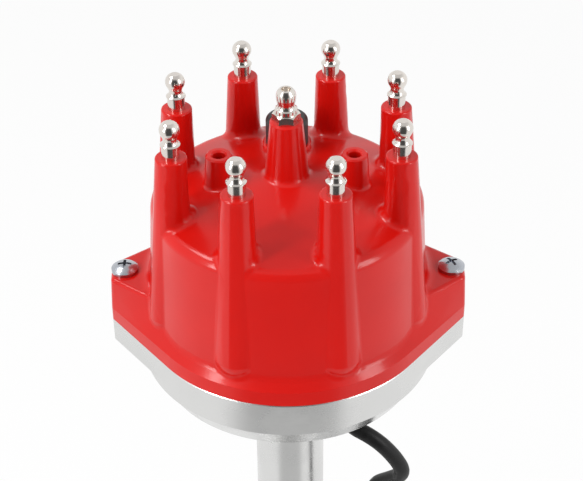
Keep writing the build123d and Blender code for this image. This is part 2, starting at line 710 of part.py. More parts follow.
def vent_cap():
    """Black plug on the deck behind the centre tower."""
    head = disc(VENT_R, VENT_PAD_Z, VENT_TOP_Z)
    head = fillet(head.edges().sort_by(Axis.Z)[-1], VENT_EDGE_R)
    stem = disc(VENT_STEM_R, VENT_PAD_Z - VENT_STEM_L, VENT_PAD_Z)
    return Pos(0, VENT_Y, 0) * (head + stem)


# ================================================================ housing
def housing():
    """Machined bowl with ears, and a hub that takes the bearing above and the barrel below."""
    wall_z = BOWL_FOOT_Z + BOWL_CONE_H
    hub_z = BOWL_FOOT_Z - HUB_DROP
    bearing_z = BEARING_TOP_Z - BEARING_W
    outside = turned(
        (0, hub_z),
        (HUB_FOOT_R, hub_z),
        (HUB_FOOT_R + 1.0, hub_z + 1.0),
        (HUB_R, BOWL_FOOT_Z),
        (BOWL_FOOT_R - 1.0, BOWL_FOOT_Z),
        (BOWL_FOOT_R, BOWL_FOOT_Z + 1.0),
        (BOWL_R - BOWL_STEP, wall_z),
        (BOWL_R, wall_z),
        (BOWL_R, RIM_Z),
        (0, RIM_Z),
    )
    ears = extrude(ear_outline(BOWL_R, EAR_TIP_R, EAR_CORNER_R, EAR_HALF_W), EAR_T)
    ears = Pos(0, 0, RIM_Z - EAR_T) * ears
    body = outside + ears
    rim = body.edges().group_by(Axis.Z)[-1]
    body = chamfer(rim, RIM_CHAMFER)
    body = body + disc(REGISTER_R, RIM_Z, RIM_Z + REGISTER_H)
    relief_r = BEARING_OD_R - RACE_T + BEARING_RELIEF
    bore = turned(
        (0, hub_z - 1),
        (TUBE_R, hub_z - 1),
        (TUBE_R, BARREL_TOP_Z),
        (BARREL_BORE_R, BARREL_TOP_Z),
        (BARREL_BORE_R, bearing_z - BARREL_SHOULDER / 2),
        (relief_r, bearing_z - BARREL_SHOULDER / 2),
        (relief_r, bearing_z),
        (BEARING_OD_R, bearing_z),
        (BEARING_OD_R, BEARING_TOP_Z),
        (BEARING_OD_R + CIRCLIP_OUT, BEARING_TOP_Z),
        (BEARING_OD_R + CIRCLIP_OUT, BEARING_TOP_Z + CIRCLIP_T),
        (BEARING_OD_R, BEARING_TOP_Z + CIRCLIP_T),
        (BEARING_OD_R, FLOOR_Z + HUB_LIP_H),
        (BEARING_OD_R + HUB_LIP_T, FLOOR_Z + HUB_LIP_H),
        (BEARING_OD_R + HUB_LIP_T + 0.6, FLOOR_Z),
        (BOWL_BORE_R - 2.0, FLOOR_Z),
        (BOWL_BORE_R, FLOOR_Z + 2.0),
        (BOWL_BORE_R, RIM_Z + REGISTER_H + 1),
        (0, RIM_Z + REGISTER_H + 1),
    )
    body = body - bore
    for x in (EAR_SCREW_R, -EAR_SCREW_R):
        body = body - disc(CAP_SCREW_R, RIM_Z - CAP_SCREW_BITE, RIM_Z + 1, x, 0)
    body = body - disc(GROMMET_R, BOWL_FOOT_Z - 1, FLOOR_Z + 1, GROMMET_X, GROMMET_Y)
    notch_r = (BOWL_BORE_R + REGISTER_R) / 2
    body = body - Pos(0, notch_r, RIM_Z + REGISTER_H) * Box(REGISTER_NOTCH_W, 6.0, 2 * REGISTER_H)
    for x, y in pickup_screw_places():
        body = body - disc(SMALL_SCREW_R, FLOOR_Z - SMALL_SCREW_BITE, FLOOR_Z + 1, x, y)
    return body


def housing_barrel():
    """Turned barrel below the bowl: tube, hold-down flange, pilot, seal grooves and oil groove."""
    oil_low = OIL_GROOVE_Z - OIL_GROOVE_W / 2
    oil_high = OIL_GROOVE_Z + OIL_GROOVE_W / 2
    neck_low = BARREL_NECK_Z - BARREL_NECK_W / 2
    neck_high = BARREL_NECK_Z + BARREL_NECK_W / 2
    outside = turned(
        (0, -BARREL_L),
        (PILOT_R - BARREL_CHAMFER, -BARREL_L),
        (PILOT_R, -BARREL_L + BARREL_CHAMFER),
        (PILOT_R, oil_low),
        (OIL_GROOVE_R, oil_low),
        (OIL_GROOVE_R, oil_high),
        (PILOT_R, oil_high),
        (PILOT_R, neck_low),
        (BARREL_NECK_R, neck_low + 1.0),
        (BARREL_NECK_R, neck_high - 1.0),
        (PILOT_R, neck_high),
        (PILOT_R, 0),
        (FLANGE_R - 0.6, 0),
        (FLANGE_R, 0.6),
        (FLANGE_R, FLANGE_T - 1.0),
        (FLANGE_R - 1.0, FLANGE_T),
        (TUBE_R, FLANGE_T),
        (TUBE_R, BARREL_TOP_Z),
        (0, BARREL_TOP_Z),
    )
    foot = outside.edges().filter_by(GeomType.CIRCLE).filter_by(lambda e: abs(e.radius - TUBE_R) < 0.01)
    outside = fillet(foot.sort_by(Axis.Z)[0], FLANGE_FILLET_R)
    bush_r = SHAFT_R + RUNNING_CLEARANCE + BUSH_T
    body = outside - disc(BARREL_BORE_R, -BARREL_L + BUSH_L, BARREL_TOP_Z + 1)
    body = body - disc(bush_r, -BARREL_L - 1, -BARREL_L + BUSH_L)
    for z in O_RING_Z:
        half = O_RING_GROOVE_W / 2
        body = body - ring(o_ring_centre_r() - O_RING_WIRE_R, PILOT_R + 1, z - half, z + half)
    return body


def o_ring_centre_r():
    """Radius of a seal's centre line, set so that it lies flush with the pilot."""
    return PILOT_R - O_RING_INSET - O_RING_WIRE_R


def o_rings():
    """Seals in the barrel's grooves."""
    return Compound([Pos(0, 0, z) * Torus(o_ring_centre_r(), O_RING_WIRE_R) for z in O_RING_Z])


def lower_bushing():
    """Sintered bush that carries the shaft's lower end."""
    inner = SHAFT_R + RUNNING_CLEARANCE
    return ring(inner, inner + BUSH_T, -BARREL_L, -BARREL_L + BUSH_L)


# ================================================================ ball bearing
def race(inner, outer, groove_at):
    """Bearing ring with its ball groove."""
    low = BEARING_TOP_Z - BEARING_W
    blank = ring(inner, outer, low, BEARING_TOP_Z)
    groove = Pos(0, 0, low + BEARING_W / 2) * Torus(groove_at, BALL_BEARING_R + BEARING_CLEARANCE)
    return blank - groove


def ball_pitch_r():
    """Radius of the circle through the ball centres."""
    return (SHAFT_R + BEARING_OD_R) / 2


def bearing_outer_ring():
    return race(BEARING_OD_R - RACE_T, BEARING_OD_R, ball_pitch_r())


def bearing_inner_ring():
    return race(SHAFT_R, SHAFT_R + RACE_T, ball_pitch_r())


def ball(index, radius):
    """One ball, or its clearance ball, on the pitch circle."""
    x, y = polar(ball_pitch_r(), 360.0 * index / BALLS)
    return Pos(x, y, BEARING_TOP_Z - BEARING_W / 2) * Sphere(radius)


def bearing_balls():
    return Compound([ball(index, BALL_BEARING_R) for index in range(BALLS)])


def bearing_cage():
    """Machined ring cage with a round pocket for each ball."""
    middle = BEARING_TOP_Z - BEARING_W / 2
    low = middle - CAGE_W / 2
    cage = ring(ball_pitch_r() - CAGE_T / 2, ball_pitch_r() + CAGE_T / 2, low, low + CAGE_W)
    pocket = Cylinder(BALL_BEARING_R + BEARING_CLEARANCE, 3 * CAGE_T, rotation=(0, 90, 0))
    for index in range(BALLS):
        cage = cage - Rot(0, 0, 360.0 * index / BALLS) * Pos(ball_pitch_r(), 0, middle) * pocket
    return cage


def bearing_retaining_ring():
    """Internal circlip over the outer ring, open by a narrow gap."""
    top = BEARING_TOP_Z + CIRCLIP_T
    clip = ring(BEARING_OD_R - CIRCLIP_IN, BEARING_OD_R + CIRCLIP_OUT, BEARING_TOP_Z, top)
    return clip - Pos(0, BEARING_OD_R, BEARING_TOP_Z) * Box(5.0, 10.0, 6.0)


# ================================================================ shaft
def drive_shaft():
    """Main shaft with its stepped top and the slot that drives the oil pump."""
    top_z = CAM_Z + CAM_T + 1.2
    shaft = turned(
        (0, SHAFT_END_Z),
        (SHAFT_R - 0.8, SHAFT_END_Z),
        (SHAFT_R, SHAFT_END_Z + 0.8),
        (SHAFT_R, CAM_Z),
        (SHAFT_END_R, CAM_Z),
        (SHAFT_END_R, top_z - 0.6),
        (SHAFT_END_R - 0.6, top_z),
        (0, top_z),
    )
    shaft = shaft - Pos(0, 0, SHAFT_END_Z) * Box(3 * SHAFT_R, DRIVE_SLOT_W, 2 * DRIVE_SLOT_DEPTH)
    return shaft - roll_pin()


def roll_pin():
    """Pin through the gear's collar and the shaft."""
    pin = Cylinder(ROLL_PIN_R, 2 * GEAR_COLLAR_R - 0.4, rotation=(90, 0, 0))
    return Pos(0, 0, GEAR_END_Z + GEAR_COLLAR_L / 2) * pin


def gear_tooth():
    """Plan of one tooth gap-to-gap segment as a trapezoid with curved flanks."""
    pitch_half = math.degrees(math.pi / 2 / GEAR_TEETH)
    root_r = GEAR_PITCH_R - GEAR_DEDENDUM
    tip_r = GEAR_PITCH_R + GEAR_ADDENDUM
    left_root = polar(root_r - 0.6, pitch_half * 1.55)
    left_mid = polar(GEAR_PITCH_R, pitch_half * 0.98)
    left_tip = polar(tip_r, pitch_half * 0.45)
    right_root = polar(root_r - 0.6, -pitch_half * 1.55)
    right_mid = polar(GEAR_PITCH_R, -pitch_half * 0.98)
    right_tip = polar(tip_r, -pitch_half * 0.45)
    outline = [
        ThreePointArc(left_root, left_mid, left_tip),
        ThreePointArc(left_tip, (tip_r, 0), right_tip),
        ThreePointArc(right_tip, right_mid, right_root),
        Line(right_root, left_root),
    ]
    return make_face(Curve() + outline)


def drive_gear():
    """Helical gear that meshes with the camshaft, with a collar for its pin."""
    plan = Circle(GEAR_PITCH_R - GEAR_DEDENDUM)
    for index in range(GEAR_TEETH):
        plan = plan + Rot(0, 0, 360.0 * index / GEAR_TEETH) * gear_tooth()
    lead_turn = math.degrees(GEAR_FACE_W * math.tan(math.radians(GEAR_HELIX_DEG)) / GEAR_PITCH_R)
    face = plan.face()
    teeth = Solid.extrude_linear_with_rotation(face, (0, 0, 0), (0, 0, GEAR_FACE_W), lead_turn)
    teeth = Pos(0, 0, GEAR_TOP_Z - GEAR_FACE_W) * teeth
    tip = GEAR_PITCH_R + GEAR_ADDENDUM
    bevel = turned(
        (0, GEAR_TOP_Z - GEAR_FACE_W),
        (tip - 1.2, GEAR_TOP_Z - GEAR_FACE_W),
        (tip + 0.1, GEAR_TOP_Z - GEAR_FACE_W + 1.3),
        (tip + 0.1, GEAR_TOP_Z - 1.3),
        (tip - 1.2, GEAR_TOP_Z),
        (0, GEAR_TOP_Z),
    )
    teeth = teeth & bevel
    collar = disc(GEAR_COLLAR_R, GEAR_END_Z, GEAR_END_Z + GEAR_COLLAR_L)
    collar = chamfer(collar.edges().sort_by(Axis.Z)[0], 0.8)
    gear = teeth + collar - disc(SHAFT_R, GEAR_END_Z - 1, GEAR_TOP_Z + 1)
    return gear - roll_pin()


def thrust_washers():
    """Shims between the gear and the barrel."""
    washers = []
    for index in range(THRUST_WASHERS):
        top = THRUST_Z - index * THRUST_WASHER_T
        washers.append(ring(SHAFT_R, THRUST_WASHER_R, top - THRUST_WASHER_T, top))
    return Compound(washers)


def sleeve_washer():
    """Spacer between the bearing's inner ring and the advance sleeve."""
    return ring(SHAFT_R, SHAFT_R + RACE_T, BEARING_TOP_Z, BEARING_TOP_Z + SLEEVE_WASHER_T)


def advance_cam():
    """Two-lobed cam on the shaft's end that the weights push against."""
    lobes = [Circle(CAM_HUB_R)]
    for turn in (0, 180):
        x, y = polar(CAM_LOBE_PITCH_R, CAM_LOBE_DEG + turn)
        lobes.append(Pos(x, y) * Circle(CAM_LOBE_R))
    plan = make_hull([edge for lobe in lobes for edge in lobe.edges()])
    cam = Pos(0, 0, CAM_Z) * extrude(plan, CAM_T)
    cam = chamfer(cam.edges().group_by(Axis.Z)[-1], 0.4)
    cam = cam - disc(SHAFT_END_R, CAM_Z - 1, CAM_Z + CAM_T + 1)
    x, y = polar(STOP_PITCH_R, CAM_LOBE_DEG)
    return cam - disc(STOP_PIN_R, CAM_Z - 1, CAM_Z + CAM_T + 1, x, y)


def advance_stop():
    """Pin and bushing under the cam that run in the base plate's slot."""
    x, y = polar(STOP_PITCH_R, CAM_LOBE_DEG)
    pin = disc(STOP_PIN_R, CAM_Z, CAM_Z + CAM_T, x, y)
    return pin + disc(STOP_BUSH_R, SLEEVE_TOP_Z + 0.2, CAM_Z, x, y)


# ================================================================ advance plate, reluctor
def stop_slot():
    """Curved slot plan that lets the stop travel over the advance angle."""
    reach = STOP_BUSH_R + STOP_SLOT_CLEARANCE
    start = CAM_LOBE_DEG
    middle = start + ADVANCE_LIMIT_DEG / 2
    end = start + ADVANCE_LIMIT_DEG
    arc = ThreePointArc(polar(STOP_PITCH_R, start), polar(STOP_PITCH_R, middle), polar(STOP_PITCH_R, end))
    return SlotArc(arc, 2 * reach)


def weight_base():
    """Plate on a sleeve: carries the weights and the rotor above, the reluctor below."""
    plate = Circle(BASE_PLATE_R)
    for turn in (20, 200):
        x, y = polar(BASE_PLATE_R + 9.0, turn - 60)
        plate = plate - Pos(x, y) * Circle(13.0)
    plate = Pos(0, 0, SLEEVE_TOP_Z) * extrude(plate - stop_slot(), BASE_PLATE_T)
    sleeve = disc(SLEEVE_R, SLEEVE_Z, SLEEVE_TOP_Z)
    base = plate + sleeve
    base = base - disc(SHAFT_R + RUNNING_CLEARANCE, SLEEVE_Z - 1, PLATE_TOP_Z + 1)
    base = base - Pos(0, 0, SLEEVE_TOP_Z) * extrude(stop_slot(), BASE_PLATE_T)
    for turn in (0, 180):
        x, y = polar(PIVOT_PITCH_R, PIVOT_DEG + turn)
        base = base - disc(PIVOT_PIN_R, SLEEVE_TOP_Z - 1, PLATE_TOP_Z + 1, x, y)
        x, y = polar(ROTOR_FOOT_PITCH_R, ROTOR_FOOT_DEG + turn)
        base = base - disc(ROTOR_SCREW_R, SLEEVE_TOP_Z - 1, PLATE_TOP_Z + 1, x, y)
        x, y = polar(BASE_POST_PITCH_R, BASE_POST_DEG + turn)
        base = base + disc(SPRING_POST_R, PLATE_TOP_Z, WEIGHT_TOP_Z + SPRING_POST_H, x, y)
    return base


def weight_pins():
    """Riveted pins that the weights swing on."""
    top_z = WEIGHT_TOP_Z + SEAT_GAP
    pins = []
    for turn in (0, 180):
        x, y = polar(PIVOT_PITCH_R, PIVOT_DEG + turn)
        pin = disc(PIVOT_PIN_R, SLEEVE_TOP_Z, top_z)
        pin = pin + disc(PIN_HEAD_R, top_z, top_z + PIN_HEAD_T)
        pins.append(Pos(x, y, 0) * pin)
    return Compound(pins)


def weight_plan():
    """Plan of the first weight: curved mass, eye and the nose that meets the cam."""
    end_deg = WEIGHT_START_DEG + WEIGHT_SWEEP_DEG
    mid_deg = WEIGHT_START_DEG + WEIGHT_SWEEP_DEG / 2
    outline = [
        ThreePointArc(*[polar(WEIGHT_OUT_R, a) for a in (WEIGHT_START_DEG, mid_deg, end_deg)]),
        Line(polar(WEIGHT_OUT_R, end_deg), polar(WEIGHT_IN_R, end_deg)),
        ThreePointArc(*[polar(WEIGHT_IN_R, a) for a in (end_deg, mid_deg, WEIGHT_START_DEG)]),
        Line(polar(WEIGHT_IN_R, WEIGHT_START_DEG), polar(WEIGHT_OUT_R, WEIGHT_START_DEG)),
    ]
    mass = make_face(Curve() + outline)
    eye_x, eye_y = polar(PIVOT_PITCH_R, PIVOT_DEG)
    far = sorted(mass.vertices(), key=lambda v: -math.dist((v.X, v.Y), (eye_x, eye_y)))[:2]
    mass = fillet(far, WEIGHT_CORNER_R)
    eye = Pos(eye_x, eye_y) * Circle(WEIGHT_EYE_R)
    nose = Pos(eye_x, eye_y - WEIGHT_NOSE_REACH) * Circle(WEIGHT_NOSE_R)
    finger = make_hull(list((Pos(eye_x, eye_y) * Circle(WEIGHT_EYE_R - 1.5)).edges()) + list(nose.edges()))
    return mass + eye + finger


def advance_weight(turn):
    """Flyweight with its spring post."""
    x, y = polar(PIVOT_PITCH_R, PIVOT_DEG)
    weight = Pos(0, 0, WEIGHT_Z) * extrude(weight_plan(), WEIGHT_T)
    weight = weight - disc(PIVOT_PIN_R + RUNNING_CLEARANCE, WEIGHT_Z - 1, WEIGHT_TOP_Z + 1, x, y)
    x, y = polar(WEIGHT_POST_R, WEIGHT_POST_DEG)
    weight = weight + disc(SPRING_POST_R, WEIGHT_TOP_Z, WEIGHT_TOP_Z + SPRING_POST_H, x, y)
    return Rot(0, 0, turn) * weight


def advance_spring(turn):
    """Tension spring between a weight's post and the base's post: a coil and two hooks."""
    start = Vector(*polar(BASE_POST_PITCH_R, BASE_POST_DEG), 0)
    end = Vector(*polar(WEIGHT_POST_R, WEIGHT_POST_DEG), 0)
    along = (end - start).normalized()
    span = (end - start).length
    wire_r = ADVANCE_SPRING_WIRE_R
    eye_r = SPRING_POST_R + wire_r + 0.1
    tail = eye_r + 2.6
    coil_l = span - 2 * tail
    coil = spring_coil(coil_l / ADVANCE_SPRING_TURNS, coil_l, ADVANCE_SPRING_R, wire_r)
    height = Vector(0, 0, WEIGHT_TOP_Z + SPRING_ABOVE_WEIGHT)
    pieces = [Plane(origin=start + height + along * tail, z_dir=along) * coil]
    for centre, way in ((start, along), (end, -along)):
        eye = Pos(*(centre + height)) * wire_ring(eye_r, wire_r)
        shank = Plane(origin=centre + height + way * eye_r, z_dir=way)
        shank = shank * extrude(RegularPolygon(wire_r, WIRE_SIDES), tail - eye_r - 2 * wire_r)
        pieces.append(eye + shank)
    return Rot(0, 0, turn) * Compound(pieces)


def wire_ring(radius, wire_r):
    """Closed ring of spring wire about Z."""
    return revolve(Plane.XZ * Pos(radius, 0) * RegularPolygon(wire_r, WIRE_SIDES), Axis.Z)


def spring_coil(pitch, height, radius, wire_r):
    """Coil standing on z = 0, its fine wire drawn with a few flats."""
    path = Helix(pitch=pitch, height=height, radius=radius)
    section = Plane(origin=path @ 0, z_dir=path % 0) * RegularPolygon(wire_r, WIRE_SIDES)
    return sweep(section, path=path, is_frenet=True)


def reluctor():
    """Eight-toothed star whose teeth pass the pickup."""
    plan = Circle(RELUCTOR_BODY_R)
    for index in range(RELUCTOR_TEETH):
        length = RELUCTOR_TIP_R - RELUCTOR_BODY_R + 3.0
        tooth = Pos(RELUCTOR_TIP_R - length / 2, 0) * Rectangle(length, RELUCTOR_TOOTH_W)
        plan = plan + Rot(0, 0, PICKUP_DEG + 360.0 * index / RELUCTOR_TEETH) * tooth
    plan = (plan & Circle(RELUCTOR_TIP_R)) - Circle(SLEEVE_R)
    star = Pos(0, 0, RELUCTOR_Z) * extrude(plan, RELUCTOR_H)
    for index in range(RELUCTOR_TEETH // 2):
        x, y = polar((RELUCTOR_BODY_R + SLEEVE_R) / 2, PICKUP_DEG + 22.5 + 90.0 * index)
        star = star - disc(1.8, RELUCTOR_Z - 1, RELUCTOR_Z + RELUCTOR_H + 1, x, y)
    return star


# ================================================================ pickup
def pickup_screw_places():
    """Plan positions of the pickup's screws."""
    return [polar(PICKUP_SCREW_PITCH_R, PICKUP_DEG + side * PICKUP_SCREW_DEG) for side in (-1, 1)]


def radial_block(inner_r, outer_r, width, low, high):
    """Block that lies along the pickup's radius."""
    length = outer_r - inner_r
    block = Pos(inner_r + length / 2, 0, (low + high) / 2) * Box(length, width, high - low)
    return Rot(0, 0, PICKUP_DEG) * block


def pickup_plate():
    """Bracket on the bowl's floor, cleared round the cable's grommet."""
    half = PICKUP_PLATE_SWEEP_DEG / 2
    outline = [
        ThreePointArc(*[polar(PICKUP_PLATE_OUT_R, a) for a in (-half, 0, half)]),
        Line(polar(PICKUP_PLATE_OUT_R, half), polar(PICKUP_PLATE_IN_R, half)),
        ThreePointArc(*[polar(PICKUP_PLATE_IN_R, a) for a in (half, 0, -half)]),
        Line(polar(PICKUP_PLATE_IN_R, -half), polar(PICKUP_PLATE_OUT_R, -half)),
    ]
    plan = make_face(Curve() + outline)
    plan = fillet(plan.vertices(), 2.5)
    plate = Rot(0, 0, PICKUP_DEG) * Pos(0, 0, FLOOR_Z) * extrude(plan, PICKUP_PLATE_T)
    for x, y in pickup_screw_places():
        plate = plate - disc(SMALL_SCREW_R, FLOOR_Z - 1, FLOOR_Z + PICKUP_PLATE_T + 1, x, y)
    return plate - disc(GROMMET_FLANGE_R + 0.6, FLOOR_Z - 1, FLOOR_Z + 5, GROMMET_X, GROMMET_Y)


def pickup_screws():
    """Screws that hold the bracket to the floor."""
    screw = pan_screw(SMALL_SCREW_R, PICKUP_PLATE_T + 3.6, SMALL_SCREW_HEAD_R, SMALL_SCREW_HEAD_H)
    top = FLOOR_Z + PICKUP_PLATE_T
    return Compound([Pos(x, y, top) * screw for x, y in pickup_screw_places()])


def pickup_magnet():
    """Magnet between the bracket and the pole piece."""
    return radial_block(MAGNET_OUT_R - MAGNET_L, MAGNET_OUT_R, MAGNET_W, FLOOR_Z + PICKUP_PLATE_T, POLE_Z)


def pickup_pole():
    """Iron bar from the magnet to the air gap at the reluctor."""
    tip = RELUCTOR_TIP_R + AIR_GAP
    return radial_block(tip, MAGNET_OUT_R, POLE_W, POLE_Z, POLE_Z + POLE_H)


def bobbin_span():
    """Inner radius, outer radius and middle height of the bobbin."""
    return BOBBIN_IN_R, BOBBIN_OUT_R, POLE_Z + POLE_H / 2


def pickup_bobbin():
    """Spool on the pole piece."""
    inner, outer, middle = bobbin_span()
    half = BOBBIN_SIZE / 2
    core_w = POLE_W + 2 * BOBBIN_CORE_WALL
    core_h = POLE_H / 2 + BOBBIN_CORE_WALL
    spool = radial_block(inner, outer, core_w, middle - core_h, middle + core_h)
    spool = spool + radial_block(inner, inner + BOBBIN_FLANGE_T, BOBBIN_SIZE, middle - half, middle + half)
    spool = spool + radial_block(outer - BOBBIN_FLANGE_T, outer, BOBBIN_SIZE, middle - half, middle + half)
    return spool - radial_block(inner - 1, outer + 1, POLE_W, POLE_Z, POLE_Z + POLE_H)


def pickup_winding():
    """Wire pack between the spool's flanges."""
    inner, outer, middle = bobbin_span()
    half = BOBBIN_SIZE / 2 - 0.8
    low = inner + BOBBIN_FLANGE_T
    high = outer - BOBBIN_FLANGE_T
    core_w = POLE_W + 2 * BOBBIN_CORE_WALL
    core_h = POLE_H / 2 + BOBBIN_CORE_WALL
    pack = radial_block(low, high, 2 * half, middle - half, middle + half)
    return pack - radial_block(low - 1, high + 1, core_w, middle - core_h, middle + core_h)


# ================================================================ rotor
def rotor_feet_places():
    """Plan positions of the rotor's two feet."""
    return [polar(ROTOR_FOOT_PITCH_R, ROTOR_FOOT_DEG + turn) for turn in (0, 180)]


def rotor_body():
    """Moulded rotor: disc with rim, hub, arm under the blade and two feet."""
    top = ROTOR_DISC_Z + ROTOR_DISC_T
    body = turned(
        (0, ROTOR_DISC_Z),
        (ROTOR_R, ROTOR_DISC_Z),
        (ROTOR_R, top + ROTOR_RIM_H),
        (ROTOR_R - ROTOR_RIM_T * 0.8, top + ROTOR_RIM_H),
        (ROTOR_R - ROTOR_RIM_T, top),
        (ROTOR_HUB_R, top),
        (ROTOR_HUB_R - 1.5, top + ROTOR_HUB_H),
        (0, top + ROTOR_HUB_H),
    )
    arm_plan = make_hull(
        list(Circle(ROTOR_ARM_W / 2 + 1.5).edges())
        + list((Pos(ROTOR_ARM_R - 3.0, ARM_TIP_HALF_W) * Circle(2.6)).edges())
        + list((Pos(ROTOR_ARM_R - 3.0, -ARM_TIP_HALF_W) * Circle(2.6)).edges())
    )
    arm = Pos(0, 0, ROTOR_DISC_Z + 1) * extrude(arm_plan, ROTOR_BLADE_Z - ROTOR_DISC_Z - 1)
    relief_out = ROTOR_ARM_R - ARM_TIP_L
    relief_l = relief_out - ROTOR_HUB_R - ARM_ROOT_L
    relief = Box(relief_l, 2 * ROTOR_R, ARM_RELIEF_H)
    relief = Pos(relief_out - relief_l / 2, 0, top + ARM_RELIEF_H / 2) * relief
    arm = arm - fillet(relief.edges().filter_by(Axis.Y), ARM_RELIEF_EDGE_R)
    web_in = ROTOR_HUB_R - ROTOR_WEB_T
    web_out = ROTOR_R - ROTOR_RIM_T - ROTOR_WEB_END
    web_l = web_out - web_in
    web = Pos(-web_in - web_l / 2, 0, top + ROTOR_WEB_H / 2) * Box(web_l, ROTOR_WEB_T, ROTOR_WEB_H)
    blade_frame = Rot(0, 0, ROTOR_ARM_DEG)
    body = body + blade_frame * arm + blade_frame * web
    for x, y in rotor_feet_places():
        foot = disc(ROTOR_FOOT_R, PLATE_TOP_Z, top, x, y)
        body = body + foot
        body = body - disc(ROTOR_SCREW_R, PLATE_TOP_Z - 1, top + 9, x, y)
        body = body - disc(ROTOR_SCREW_HEAD_R + 0.4, top - 1.0, top + 9, x, y)
    return body


def rotor_screws():
    """Screws from the rotor's disc through its feet into the base plate."""
    seat = ROTOR_DISC_Z + ROTOR_DISC_T - 1.0
    screw = pan_screw(ROTOR_SCREW_R, seat - SLEEVE_TOP_Z, ROTOR_SCREW_HEAD_R, ROTOR_SCREW_HEAD_H)
    return Compound([Pos(x, y, seat) * screw for x, y in rotor_feet_places()])


def rotor_blade():
    """Brass strip from the centre to the tip that passes the posts."""
    strip = Pos((BLADE_TIP_R - BLADE_TAIL) / 2, 0) * Rectangle(BLADE_TIP_R + BLADE_TAIL, BLADE_W)
    tip = Pos(BLADE_TIP_R - BLADE_TIP_L / 2, 0) * Rectangle(BLADE_TIP_L, BLADE_TIP_W)
    plan = (strip + tip) & Circle(BLADE_TIP_R)
    return Rot(0, 0, ROTOR_ARM_DEG) * Pos(0, 0, ROTOR_BLADE_Z) * extrude(plan, BLADE_T)


def rotor_contact():
    """Sprung leaf on the blade that the carbon button rides on."""
    low = ROTOR_BLADE_Z + BLADE_T
    high = CONTACT_TOP_Z
    leaf = Polygon(
        (CONTACT_END_R, low),
        (CONTACT_END_R, low + CONTACT_T),
        (CONTACT_BEND_R + 0.2, low + CONTACT_T),
        (BUTTON_R, high),
        (-BUTTON_R, high),
        (-BUTTON_R - 0.4, high - CONTACT_T),
        (BUTTON_R - 0.2, high - CONTACT_T),
        (CONTACT_BEND_R, low),
        align=None,
    )
    strip = extrude(Plane.XZ * leaf, CONTACT_W / 2, both=True)
    return Rot(0, 0, ROTOR_ARM_DEG) * strip


# ================================================================ button
def carbon_button():
    """Carbon brush in the cap's centre boss."""
    body = turned(
        (0, BUTTON_Z),
        (BUTTON_R - 1.2, BUTTON_Z),
        (BUTTON_R, BUTTON_Z + 1.0),
        (BUTTON_R, BUTTON_Z + BUTTON_L),
        (0, BUTTON_Z + BUTTON_L),
    )
    return body


def button_spring():
    """Light coil that keeps the button on the rotor."""
    low = BUTTON_Z + BUTTON_L + BUTTON_SPRING_WIRE_R
    height = COIL_SHANK_END_Z - BUTTON_SPRING_WIRE_R - low
    coil = spring_coil(height / BUTTON_SPRING_TURNS, height, BUTTON_SPRING_R, BUTTON_SPRING_WIRE_R)
    return Pos(0, 0, low) * coil


# ================================================================ cable
def cable_grommet():
    """Rubber grommet in the floor, flanged on both sides."""
    grommet = turned(
        (0, BOWL_FOOT_Z - GROMMET_FLANGE_T),
        (GROMMET_FLANGE_R - 0.6, BOWL_FOOT_Z - GROMMET_FLANGE_T),
        (GROMMET_FLANGE_R, BOWL_FOOT_Z - GROMMET_FLANGE_T + 0.6),
        (GROMMET_FLANGE_R, BOWL_FOOT_Z),
        (GROMMET_R, BOWL_FOOT_Z),
        (GROMMET_R, FLOOR_Z),
        (GROMMET_FLANGE_R, FLOOR_Z),
        (GROMMET_FLANGE_R, FLOOR_Z + GROMMET_FLANGE_T - 0.6),
        (GROMMET_FLANGE_R - 0.6, FLOOR_Z + GROMMET_FLANGE_T),
        (0, FLOOR_Z + GROMMET_FLANGE_T),
    )
    return Pos(GROMMET_X, GROMMET_Y, 0) * grommet


def cable_points():
    """Route of the cable from the grommet to the connector."""
    top_z = BOWL_FOOT_Z - GROMMET_FLANGE_T
    start = Vector(GROMMET_X, GROMMET_Y, top_z)
    return [start] + [Vector(x, y, top_z - depth) for x, y, depth in CABLE_ROUTE]


def cable_radii(points):
    """Bend radius at each inner corner, as large as its two runs allow."""
    radii = []
    for before, corner, after in zip(points, points[1:], points[2:]):
        turn = (corner - before).get_angle(after - corner)
        shorter = min((corner - before).length, (after - corner).length)
        radii.append(0.45 * shorter / math.tan(math.radians(turn) / 2))
    return radii


def pickup_cable():
    """Sleeved lead, hanging free."""
    points = cable_points()
    radii = cable_radii(points)
    print("cable radii", [round(radius, 1) for radius in radii])
    path = FilletPolyline(*points, radius=radii)
    print("cable length", round(path.length, 1))
    section = Plane(origin=path @ 0, z_dir=path % 0) * Circle(CABLE_R)
    tube = sweep(section, path=path)
    print("cable fill", round(tube.volume / (path.length * math.pi * CABLE_R**2), 4))
    return tube


def cable_connector():
    """Two-way plug on the cable's end."""
    points = cable_points()
    way = (points[-1] - points[-2]).normalized()
    frame = Plane(origin=points[-1], z_dir=way, x_dir=(1, 0, 0))
    neck = extrude(Circle(CABLE_R + 0.9), 4.0)
    block = Pos(0, 0, 4.0) * extrude(RectangleRounded(CONNECTOR_W, CONNECTOR_T, 1.2), CONNECTOR_L - 4.0)
    plug = neck + block
    for x in (-CONNECTOR_W / 4, CONNECTOR_W / 4):
        plug = plug - Pos(x, 0, CONNECTOR_L - 9.0) * extrude(Circle(2.1), 10.0)
    latch = Pos(0, CONNECTOR_T / 2 + 0.5, 13.0) * Box(4.0, 1.4, 10.0)
    return frame * (plug + latch)


